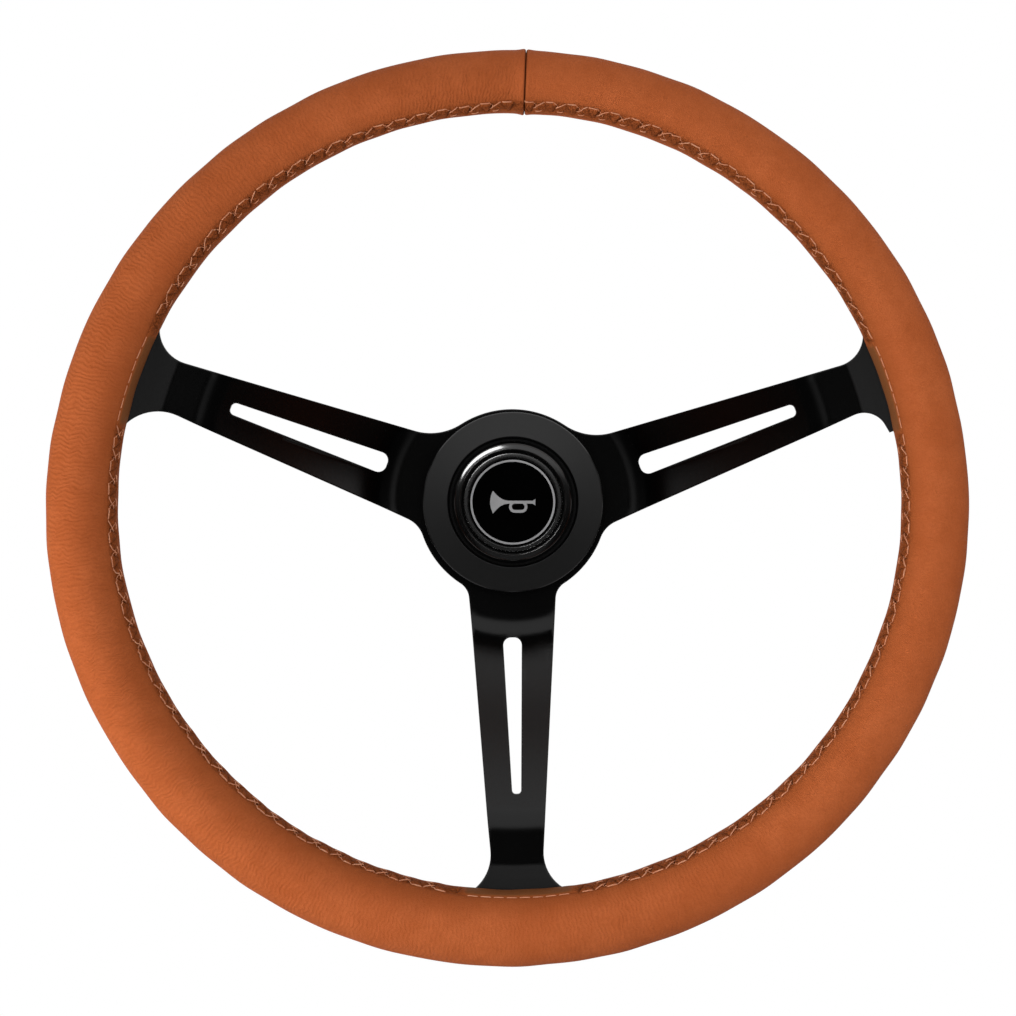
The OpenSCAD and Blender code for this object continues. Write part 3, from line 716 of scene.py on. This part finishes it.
def stitching():
    """Laced stitches over the seam, and running stitches in front of the spoke ends."""
    shape = Shape()

    def lay(k, wobble, radius, *points):
        """Adds a thread of stitch k through points (along the stitch, past the front row, height)."""
        u, v, height = (np.array(column, float) for column in zip(*points))
        theta = JOINT - np.interp(k + (u + 0.15 * wobble[0]) / PITCH, COUNTS, CLOCKS)
        phi = row_place(theta) + np.degrees((v + 0.12 * wobble[1]) / grip_half(theta))
        lay_thread(shape, theta, phi, height, radius)

    for k in range(STITCHES):
        middle = JOINT - np.interp(k + np.array([0.22, 0.75]), COUNTS, CLOCKS)
        dash_covered, gap_covered = at_flare(middle) > 0.25
        if dash_covered:
            continue
        # Each stitch is laid a little differently. First comes its dash in the front row.
        w = chance.normal(0, 1, 8)
        dash = 3.7 + 0.3 * w[2]
        rise = 0.12 * w[3]
        start, end = (-0.2, -0.1 - rise, -0.25), (dash, rise, -0.25)
        lay(k, w, 0.3, start, (0.35, -rise, 0.26), (dash - 0.5, rise, 0.28), end)
        if gap_covered or k == STITCHES - 1:
            continue
        # Two threads cross at (x, y), and stand prouder at the lower left, where the pull was less tight
        x, y = 5.45 + 0.25 * w[4], -2.2 + 0.3 * w[5]
        proud = 0.14 + 0.22 * max(0.0, math.cos(middle[0] - math.radians(210)))
        low = [(4.5, -1.0, proud - 0.3), (x, y, proud - 0.2), (6.8, -3.9, proud - 0.32)]
        lay(k, w, 0.2, (dash - 0.1, -0.1, -0.2), *low, (7.5, -5.0, -0.3))
        over = [(4.5, -3.6, proud - 0.36), (x - 0.2, y - 0.2, proud + 0.16), (x + 0.5, y + 0.35, proud + 0.2)]
        lay(k, w, 0.25, (3.7, -4.7, -0.3), *over, (6.9, -1.0, 0.26), (8.1, -0.4, 0.2), (8.7, -0.25, -0.2))
        # The dash in the rear row
        lay(k, w, 0.24, (4.9, -5.4, -0.25), (5.5, -5.4, 0.14), (7.5, -5.2, 0.14), (8.0, -5.2, -0.25))

    running_pitch = 5.6
    places, heights = np.array([-2.3, -1.7, 1.7, 2.3]), np.array([-0.25, 0.18, 0.18, -0.25])
    for first, last in np.radians(FLARES):
        count = round((last - first) * SEAM_R / running_pitch)
        for i in range(count):
            theta = first + (last - first) * (i + 0.5) / count + places / SEAM_R
            lay_thread(shape, theta, row_place(theta) + chance.normal(0, 0.4), heights, 0.24)
    return shape.make("grip_stitching", THREAD, "wheel")


# Spokes

PLATE_T = 3.0
# Radius and centre of the hub disc, and radius of its hole
HUB_R = 40.5
HUB_AT = (-0.4, -0.9)
HUB_HOLE = 16.0
# Radius that the holes lie on and their own radius. Those of the ring screws are countersunk at the rear.
BOLT_AT, BOLT_HOLE = 22.225, 2.6
SCREW_AT, SCREW_HOLE, SCREW_SINK = 33.93, 2.1, 4.05
# Distance from the axis and height of the middle of the sheet at its bends, and their radii
SHEET_LINE = [(0.0, 1.5), (55.0, 1.5), (132.0, 71.81), (150.0, 71.81), (172.0, 74.6)]
SHEET_BENDS = [0, 15.0, 13.0, 2.2, 0]
# The spokes, each in a drawing of its own with the spoke along +x: angle of the drawing, how far it is moved
# down, half widths at the bend and the fold, radii of the root fillets, start and radius of the flares, and
# the slot's start, end and half widths at both. Of two sides the left, looking outward, comes first.
SPOKES = [
    {
        "angle": 20.5, "drop": 4.75, "half": (17.3, 10.4), "root": (24.0, 12.0),
        "flare": ((147.6, 13.0), (145.8, 10.0)), "slot": (56.0, 124.0, (4.4, 4.4), (2.55, 2.55)),
    },
    {
        "angle": 159.25, "drop": -4.25, "half": (17.4, 10.4), "root": (12.0, 24.0),
        "flare": ((142.5, 19.5), (147.5, 14.5)), "slot": (56.0, 123.5, (4.4, 4.4), (2.5, 2.5)),
    },
    {
        "angle": 271.37, "drop": 1.24, "half": (17.5, 10.65), "root": (8.0, 8.0),
        "flare": ((144.4, 17.0), (144.0, 18.0)), "slot": (57.8, 121.2, (3.6, 4.5), (2.2, 1.5)),
    },
]
# Distances from the axis at which a spoke's half widths hold, the turn of a flare, and the half width and
# the end of the part inside the grip
BEND_AT, FOLD_AT = 55.0, 150.0
FLARE_SWEEP = math.radians(80)
TIP_HALF, TIP_END = 22.6, 169.0


def unit(v):
    """Vectors of length 1 with the same directions."""
    return v / np.linalg.norm(v, axis=-1, keepdims=True)


def arc_to(a, b, r, steps=14):
    """Arc from a to b with its centre on the left."""
    a, b = np.array(a, float), np.array(b, float)
    half, h = np.linalg.norm(b - a) / 2, heading(a, b)
    centre = (a + b) / 2 + math.sqrt(r * r - half * half) * np.array([-math.sin(h), math.cos(h)])
    start, sweep = heading(centre, a), 2 * math.asin(half / r)
    angle = start + sweep * np.arange(steps + 1) / steps
    return centre + r * np.stack([np.cos(angle), np.sin(angle)], axis=-1)


def spoke_edge(hub, half, flare, fillet):
    """Left edge of a spoke along +x, from the hub disc to inside the grip."""
    root, tip = np.array([BEND_AT, half[0]]), np.array([FOLD_AT, half[1]])
    h = heading(root, tip)
    along, out = np.array([math.cos(h), math.sin(h)]), np.array([-math.sin(h), math.cos(h)])
    # The root fillet touches the hub disc and the straight edge
    line = root @ out
    off = line + fillet - hub @ out
    span = HUB_R + fillet
    far = hub @ along + math.sqrt(span * span - off * off)
    centre = far * along + (line + fillet) * out
    on_hub = hub + (centre - hub) * HUB_R / span
    on_edge = far * along + line * out
    # The flare leaves the straight edge at its start and turns outward
    start, radius = flare
    turn_from = root + (tip - root) * (start - BEND_AT) / (FOLD_AT - BEND_AT)
    straight = [on_edge + (turn_from - on_edge) * t for t in np.linspace(0, 1, 26)[1:-1]]
    sweep = np.linspace(h, h + FLARE_SWEEP, 14)
    arc = turn_from + radius * out + radius * np.stack([np.sin(sweep), -np.cos(sweep)], axis=-1)
    beyond = arc[-1][0] + max(0.4, (TIP_HALF - arc[-1][1]) / math.tan(FLARE_SWEEP))
    return np.concatenate([
        arc_to(on_hub, on_edge, fillet),
        straight,
        arc,
        [(beyond, TIP_HALF), (TIP_END - 3, TIP_HALF), (TIP_END, TIP_HALF)],
    ])


def to_hub(points, spoke):
    """From a spoke's own drawing to the hub's."""
    a = math.radians(spoke["angle"])
    x, y = np.asarray(points, float).T - [[0], [spoke["drop"]]]
    return np.stack([x * math.cos(a) - y * math.sin(a), x * math.sin(a) + y * math.cos(a)], axis=-1)


def to_spoke(point, spoke):
    """From the hub's drawing to a spoke's own."""
    a = math.radians(spoke["angle"])
    x, y = point
    return np.array([x * math.cos(a) + y * math.sin(a), y * math.cos(a) - x * math.sin(a) + spoke["drop"]])


def plate_outline():
    """Outer edge of the hub disc and its three spokes, anticlockwise."""
    mirrored = np.array([1, -1])
    runs = []
    for spoke in SPOKES:
        left, right = spoke["flare"]
        left_root, right_root = spoke["root"]
        hub = to_spoke(HUB_AT, spoke)
        outward = spoke_edge(hub * mirrored, spoke["half"], right, right_root) * mirrored
        inward = spoke_edge(hub, spoke["half"], left, left_root)[::-1]
        end = np.linspace(outward[-1], inward[0], 12)[1:-1]
        runs.append(to_hub(np.concatenate([outward, end, inward]), spoke))
    outline = []
    for run, following in zip(runs, runs[1:] + runs[:1]):
        start = heading(HUB_AT, run[-1])
        end = start + (heading(HUB_AT, following[0]) - start) % (2 * math.pi)
        turn = np.linspace(start, end, 26)[1:-1]
        outline += [run, np.array(HUB_AT) + HUB_R * np.stack([np.cos(turn), np.sin(turn)], axis=-1)]
    return np.concatenate(outline)


def slot_outline(spoke):
    """Tapered slot with rounded ends, clockwise."""
    start, end, inner, outer = spoke["slot"]
    corners = [(start, -inner[1]), (start, inner[0]), (end, outer[0]), (end, -outer[1])]
    near, far = 0.4 * sum(inner), 0.4 * sum(outer)
    return to_hub(rounded(corners, [near, near, far, far], 10), spoke)


def hole(x, y, r, steps=40):
    """Round hole, clockwise."""
    turn = np.linspace(0, -2 * math.pi, steps, endpoint=False)
    return np.stack([x + r * np.cos(turn), y + r * np.sin(turn)], axis=-1)


def around(r, degrees):
    """Places at some angles on a circle round the axis."""
    return [(r * math.cos(math.radians(a)), r * math.sin(math.radians(a))) for a in degrees]


def inset(loop, distance):
    """The loop moved into the metal, which lies on its left."""
    before, after = unit(loop - np.roll(loop, 1, axis=0)), unit(np.roll(loop, -1, axis=0) - loop)
    n1 = np.stack([-before[:, 1], before[:, 0]], axis=-1)
    n2 = np.stack([-after[:, 1], after[:, 0]], axis=-1)
    n = unit(n1 + n2)
    return loop + n * distance / np.maximum((n * n1).sum(axis=1), 0.5)[:, None]


def within(points, loop):
    """True for each point inside the loop."""
    x, y = points[:, 0][:, None], points[:, 1][:, None]
    ax, ay = loop[:, 0], loop[:, 1]
    bx, by = np.roll(ax, -1), np.roll(ay, -1)
    crosses = (ay > y) != (by > y)
    with np.errstate(divide="ignore", invalid="ignore"):
        at = (bx - ax) * (y - ay) / (by - ay) + ax
    return (crosses & (x < at)).sum(axis=1) % 2 == 1


def between(points, loops):
    """True for each point inside the first loop and outside the others."""
    inside = within(points, loops[0])
    for loop in loops[1:]:
        inside &= ~within(points, loop)
    return inside


def filled(loops, extra=()):
    """Triangles inside the first loop and outside the others, through the loops' points and extra ones.

    Gives the places of all points, the triangles, and the number that each given point has among them.
    """
    corners = [Vector(p) for p in [*np.concatenate(loops), *extra]]
    edges, start = [], 0
    for loop in loops:
        n = len(loop)
        edges += [(start + i, start + (i + 1) % n) for i in range(n)]
        start += n
    found, _, triangles, origins, _, _ = delaunay_2d_cdt(corners, edges, [], 0, 1e-6)
    place, triangles = np.array([tuple(v) for v in found]), np.array(triangles)
    where = np.empty(len(corners), int)
    for new, olds in enumerate(origins):
        where[list(olds)] = new
    return place, triangles[between(place[triangles].mean(axis=1), loops)], where


def sheet_level(places, side):
    """Height of the front (side 1) or rear (side -1) face at some places."""
    line = rounded(SHEET_LINE, SHEET_BENDS, 24, closed=False)
    ahead = unit(np.gradient(line, axis=0))
    face = line + side * PLATE_T / 2 * np.stack([-ahead[:, 1], ahead[:, 0]], axis=-1)
    face = face[np.argsort(face[:, 0])]
    return np.interp(np.hypot(places[:, 0], places[:, 1]), face[:, 0], face[:, 1])


def sheet_points():
    """Points of the sheet away from its edges, closest together where it bends."""
    # Stretches of distance from the axis: start, end and spacing
    stretches = [
        (43, 47, 2.0), (47, 64, 0.8), (65, 122, 3.0), (122.5, 142, 0.8),
        (143.5, 147.5, 1.5), (148, 152.5, 0.5), (154, 169, 2.5),
    ]
    rings = np.concatenate([np.arange(*stretch) for stretch in stretches])
    cloud = []
    for spoke in SPOKES:
        r, y = np.meshgrid(rings, np.arange(-26.0, 26.1, 2.0))
        x = np.sqrt(r * r - (y - spoke["drop"]) ** 2)
        cloud.append(to_hub(np.stack([x.ravel(), y.ravel()], axis=-1), spoke))
    r, turn = np.meshgrid(np.arange(18.5, 42.5, 3.0), np.linspace(0, 2 * math.pi, 72, endpoint=False))
    cloud.append(np.stack([(r * np.cos(turn)).ravel(), (r * np.sin(turn)).ravel()], axis=-1))
    return np.concatenate(cloud)


def spoke_plate():
    """Pressed steel plate with softened edges, its slots and its holes."""
    screws = around(SCREW_AT, (30, 150, 270))
    shared = [plate_outline(), *[slot_outline(s) for s in SPOKES], hole(0, 0, HUB_HOLE, 96)]
    shared += [hole(x, y, BOLT_HOLE) for x, y in around(BOLT_AT, (90, 210, 330))]
    front = [*shared, *[hole(x, y, SCREW_HOLE) for x, y in screws]]
    rear = [*shared, *[hole(x, y, SCREW_SINK) for x, y in screws]]
    cloud = sheet_points()

    # Radius of the softened edges, how far in the even part starts, and how far its points stay off that line
    soften, even_from, clear = 0.45, 0.75, 0.9
    shape = Shape()
    walls = []
    for side, loops in ((1, front), (-1, rear)):
        flat = [inset(loop, even_from) for loop in loops]
        points = cloud[between(cloud, flat)]
        near = np.linalg.norm(points[:, None, :] - np.concatenate(flat)[None, :, :], axis=2).min(axis=1)
        place, triangles, where = filled(flat, points[near > clear])
        numbers = shape.add(np.column_stack([place, sheet_level(place, side)]))
        shape.faces.append(numbers[triangles])
        rims, start = [], 0
        for loop in loops:
            ring = numbers[where[start:start + len(loop)]]
            start += len(loop)
            for a in np.linspace(0, math.pi / 2, 5):
                moved = inset(loop, soften * (1 - math.sin(a)))
                lower = sheet_level(moved, side) - side * soften * (1 - math.cos(a))
                following = shape.add(np.column_stack([moved, lower]))
                shape.band(ring, following)
                ring = following
            rims.append(ring)
        walls.append(rims)
    for front_rim, rear_rim in zip(*walls):
        shape.band(front_rim, rear_rim)
    return shape.make("spoke_sheet", SPOKE_BLACK, "wheel", ["spoke_plate"])


# Ring and button

RING_TOP = 15.0
SEAT_Z = 15.65
# Height of the button's crest, and the radius it lies on. The crest is an arc between two angles.
CREST_Z, CREST_AT = 18.15, 20.3
CREST_ROUND, CREST_FROM, CREST_TO = 8.0, 0.253, 0.6


def centre_ring():
    """Turned ring with a slightly conical face and broken edges."""
    outer = [(29.4, 3.0), (38.3, 3.0), (38.3, 12.9), (37.9, 13.35)]
    inner = [(27.9, RING_TOP), (27.32, 14.4), (27.32, 4.05), (29.4, 4.05)]
    shape = Shape()
    turned(shape, rounded(outer + inner, [0, 0.2, 0.18, 0.18, 0.25, 0.25, 0, 0], 5))
    return shape.make("turned_ring", RING_BLACK, "wheel", ["centre_ring"])


def button_body():
    """Horn button with its polished rim, its skirt and its three screw posts."""
    crest = [
        (CREST_AT + CREST_ROUND * math.sin(t), CREST_Z - CREST_ROUND * (math.cos(CREST_FROM) - math.cos(t)))
        for t in np.linspace(CREST_FROM, CREST_TO, 14)
    ]
    skirt = [(25.02, 16.6), (25.02, 14.25), (24.42, 14.25), (24.42, 10.95), (25.57, 10.95), (25.57, 9.92)]
    hollow = [(22.92, 9.92), (22.92, 13.45), (0, 13.45)]
    radii = [0, 0.25, 0.2, *[0] * (len(crest) - 1), 0.2, 0.3, 0.1, 0.1, 0.2, 0.2, 0.1, 0.2, 0]
    profile = rounded([(0, SEAT_Z), (22.3, SEAT_Z), *crest, *skirt, *hollow], radii, 8, closed=False)
    shape = Shape()
    capped(shape, profile)
    turn = np.linspace(0, 2 * math.pi, 32, endpoint=False)
    posts_at = 9.15
    for x, y in around(posts_at, (90, 210, 330)):
        loops = [
            shape.add(np.stack([x + r * np.cos(turn), y + r * np.sin(turn), z + 0 * turn], axis=-1))
            for r, z in ((2.2, 13.6), (2.2, 10.65), (2.0, 10.46), (1.1, 10.46), (1.1, 13.2))
        ]
        shape.tube(loops)
        shape.fan(loops[-1], shape.add([[x, y, 13.2]])[0])
    return shape.make("button_shell", BUTTON_BLACK, "button", ["button_cap"])


def insert_plate():
    """Snap-in insert with its raised border."""
    profile = rounded(
        [(0, 15.67), (21.1, 15.67), (21.1, 17.2), (20.4, 17.55), (19.2, 17.65), (19.2, 16.45), (0, 16.45)],
        [0, 0.1, 0.5, 1.6, 0.25, 0.1, 0], 6, closed=False,
    )
    shape = Shape()
    capped(shape, profile)
    return shape.make("insert_plate", INSERT_BLACK, "button", ["button_insert"])


def badge_plate():
    """Printed disc."""
    profile = [(0, 16.47), (18.9, 16.47), (18.9, 17.05), (0, 17.05)]
    shape = Shape()
    capped(shape, rounded(profile, [0, 0.1, 0.15, 0], 4, closed=False), 192)
    return shape.make("badge_plate", BADGE_BLACK, "button", ["badge_disc"])


def slab(shape, loops, low, high):
    """Adds a flat sign. Its first loop is the outer one, anticlockwise, and the rest are holes, clockwise."""
    place, triangles, _ = filled(loops)
    for z in (high, low):
        numbers = shape.add(np.column_stack([place, np.full(len(place), z)]))
        shape.faces.append(numbers[triangles])
    for loop in loops:
        walls = [shape.add(np.column_stack([loop, np.full(len(loop), z)])) for z in (low, high)]
        shape.band(*walls)


def badge_print():
    """Silver ring line and a plain horn sign on the disc."""
    shape = Shape()
    low, high = 17.02, 17.09
    line, half_line = 17.6, 0.42
    turn = np.linspace(0, 2 * math.pi, 160, endpoint=False)
    circle = np.stack([np.cos(turn), np.sin(turn)], axis=-1)
    slab(shape, [circle * (line + half_line), circle[::-1] * (line - half_line)], low, high)
    # Bell, tube and mouthpiece in one outline, and the loop of the tube below it
    tube, bell, mouth, throat = 0.62, 4.9, -8.4, -1.0
    rim = [(-9.6 + 0.05 * y * y, y) for y in np.linspace(-bell, bell, 13)]
    upper = []
    for x in np.linspace(mouth, throat, 16)[1:]:
        upper.append((x, tube + (bell - tube) * ((throat - x) / (throat - mouth)) ** 2.4))
    lower = [(x, -y) for x, y in upper[::-1]]
    mouthpiece = [(8.4, tube), (9.6, 1.35), (9.6, -1.35), (8.4, -tube)]
    outline = np.array(upper + mouthpiece + lower + rim)[::-1]
    slab(shape, [outline], low, high)
    outer = rounded([(-1.6, -4.5), (6.2, -4.5), (6.2, 0.6), (-1.6, 0.6)], [2.54] * 4, 12)
    inner = rounded([(-0.4, -3.3), (5.0, -3.3), (5.0, -0.6), (-0.4, -0.6)], [1.34] * 4, 12)[::-1]
    slab(shape, [outer, inner], low, high + 0.01)
    return shape.make("badge_print", BADGE_SILVER, "button")


# Spring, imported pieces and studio


def lift_spring():
    """Coil spring under the contact disc, as tall as the imported spring that it replaces."""
    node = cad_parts["horn_spring"]
    corners = np.array([tuple(node.matrix_world @ Vector(corner)) for corner in node.bound_box]) / MM
    low, high = -corners[:, 1].max(), -corners[:, 1].min()
    # Radius of the wire, turns of the coil, turns that lie closed at each end, and sides of the wire
    wire, turns, dead, sides = 0.4, 4.0, 0.75, 12
    centre = corners[:, 0].max() - wire
    turn = np.linspace(0, turns, 192)
    stops = [0, dead, turns - dead, turns]
    rise = high - low - 2 * wire
    height = low + wire + np.interp(turn, stops, [0, 2 * wire * dead, rise - 2 * wire * dead, rise])
    section = np.linspace(0, 2 * math.pi, sides, endpoint=False)
    a = 2 * math.pi * turn[:, None]
    r = centre + wire * np.cos(section)[None, :]
    z = height[:, None] + wire * np.sin(section)[None, :]
    shape = Shape()
    rows = shape.add(np.stack([r * np.cos(a), r * np.sin(a), z], axis=-1))
    shape.tube(rows)
    for row in (rows[0], rows[-1]):
        shape.faces.append(row[None, :])
    spring = shape.make("lift_spring", SPRING_STEEL, "wheel", ["horn_spring"])
    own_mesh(spring)


def dress_nodes():
    """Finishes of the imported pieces. Those that a drawn piece replaces have the same finish as it."""
    finishes = [
        (HOOP_STEEL, ("rim_core", "weld_beads")),
        (ZINC, ("ring_screws", "carrier_screws", "contact_screws")),
        (BRASS, ("fixed_contact", "contact_rivets", "terminal_rivet", "terminal_tab", "moving_contact")),
        (CUP_BLACK, ("retainer_cup",)),
        (SNAP_BLACK, ("snap_ring",)),
        (NYLON, ("contact_carrier",)),
        (SPRING_STEEL, ("horn_spring",)),
        (SPOKE_BLACK, ("spoke_plate",)),
        (LEATHER, ("leather_cover",)),
        (FOAM, ("foam_grip",)),
        (RING_BLACK, ("centre_ring",)),
        (BUTTON_BLACK, ("button_cap",)),
        (INSERT_BLACK, ("button_insert",)),
        (BADGE_BLACK, ("badge_disc",)),
    ]
    for finish, names in finishes:
        for name in names:
            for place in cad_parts[name].material_slots:
                place.material = finish


def aim(thing, target):
    """Turns a camera or lamp to look at a place."""
    thing.rotation_euler = (Vector(target) - thing.location).to_track_quat("-Z", "Y").to_euler()


def camera():
    """Long lens, almost straight in front of the hub."""
    azimuth, elevation = math.radians(0.5), math.radians(0.56)
    level = math.cos(elevation)
    back = Vector((math.sin(azimuth) * level, -math.cos(azimuth) * level, math.sin(elevation)))
    target = Vector((-2.05, -15.0, -2.5)) * MM
    # Focal length and width of the picture
    focal_pixels, picture_pixels = 5790, 1016
    data = bpy.data.cameras.new("camera")
    data.sensor_width = 36.0
    data.lens = data.sensor_width * focal_pixels / picture_pixels
    data.clip_start, data.clip_end = 0.1, 50
    made = bpy.data.objects.new("camera", data)
    scene.collection.objects.link(made)
    made.location = target + back * (CAMERA_FAR * MM)
    aim(made, target)
    scene.camera = made


def lamp(name, place, target, size, power, spread=180, matt_only=True):
    """Soft box. The polished and satin parts mirror the room instead, unless it is for them alone."""
    data = bpy.data.lights.new(name, "AREA")
    data.shape = "RECTANGLE"
    data.size, data.size_y = size
    data.energy = power
    data.spread = math.radians(spread)
    made = bpy.data.objects.new(name, data)
    scene.collection.objects.link(made)
    made.location = place
    aim(made, target)
    made.visible_camera = False
    if matt_only:
        made.visible_glossy = False
    else:
        made.visible_diffuse = False
    return made


def room():
    """White backdrop behind the wheel, and a dim room in front that only mirrors see."""
    world = bpy.data.worlds.new("studio")
    scene.world = world
    f = Finish("studio", world)
    direction = f.node("ShaderNodeTexCoord", output=0)
    across, away, up = [f.node("ShaderNodeSeparateXYZ", inputs={0: direction}, output=i) for i in range(3)]
    seen, glossy, through = [
        f.node("ShaderNodeLightPath", output=kind)
        for kind in ("Is Camera Ray", "Is Glossy Ray", "Is Transmission Ray")
    ]
    mirrored = glossy + through
    # The room is dark round the lens, lighter above and darker low down and at both sides
    off_lens = (across * across * 2.2 + up * up).rise(0.02, 0.1)
    height = (0.35 + up).math("MINIMUM", 0.75).math("MAXIMUM", 0.13)
    beside = (across * across).rise(0.1, 0.3) * (1 - up.rise(0.2, 0.6))
    far_side = (across * across).rise(0.93, 0.99)
    front = height * off_lens * (1 - 0.85 * beside) * 1.8 + (1.0 + 0.35 * across) * far_side + 0.003
    backdrop = away.rise(0.7, 0.93)
    dim = front * (1 - backdrop) + backdrop
    ambient = 0.58
    strength = seen + (1 - seen) * (mirrored * dim + (1 - mirrored) * ambient)
    f.end(f.node("ShaderNodeBackground", inputs={"Color": grey(1), "Strength": strength}))


def lamps(polished):
    """Soft boxes in front and at the left for the leather, and one that only the polished pieces mirror."""
    for name, place, target, power, spread in (
        ("left_soft_box", (-0.75, -0.28, -0.28), (-0.15, -0.07, -0.05), 4.9, 180),
        ("right_soft_box", (0.45, -0.9, 0.15), (0.17, -0.07, 0.05), 0.22, 60),
        ("low_soft_box", (0.1, -0.9, -0.35), (0.05, -0.07, -0.17), 0.28, 60),
        ("high_soft_box", (0.0, -0.95, 0.6), (0, -0.07, 0.19), 0.19, 60),
    ):
        lamp(name, place, target, (0.4, 0.4), power, spread)
    parts = bpy.data.collections.new("polished_parts")
    for piece in polished:
        parts.objects.link(piece)
    button = lamp("button_soft_box", (-0.98, -1.1, 1.26), (0, 0, 0), (1.5, 0.65), 86, matt_only=False)
    button.light_linking.receiver_collection = parts
    button.rotation_euler.rotate_axis("Z", math.radians(40))


def pale_floor():
    """Plain floor below the wheel, almost white to the camera."""
    left, right, near, far, level = -0.5, 0.5, -0.2, 0.9, -0.36
    corners = [(left, near, level), (right, near, level), (right, far, level), (left, far, level)]
    mesh = bpy.data.meshes.new("floor")
    mesh.from_pydata(corners, [], [(0, 1, 2, 3)])
    floor = bpy.data.objects.new("floor", mesh)
    scene.collection.objects.link(floor)
    f = Finish("pale_floor")
    seen = f.node("ShaderNodeLightPath", output="Is Camera Ray")
    plain = f.node("ShaderNodeBsdfDiffuse", inputs={"Color": grey(0.8)})
    white = f.node("ShaderNodeEmission", inputs={"Color": grey(1), "Strength": 1.0})
    f.end(f.node("ShaderNodeMixShader", inputs={0: seen * 0.8, 1: plain, 2: white}))
    mesh.materials.append(f.owner)


# The wheel and its studio

leather_skin()
foam_ring()
stitching()
spoke_plate()
centre_ring()
polished = [button_body(), insert_plate()]
badge_plate()
badge_print()
lift_spring()
dress_nodes()
camera()
room()
lamps(polished)
pale_floor()
scene.view_settings.view_transform = "Standard"
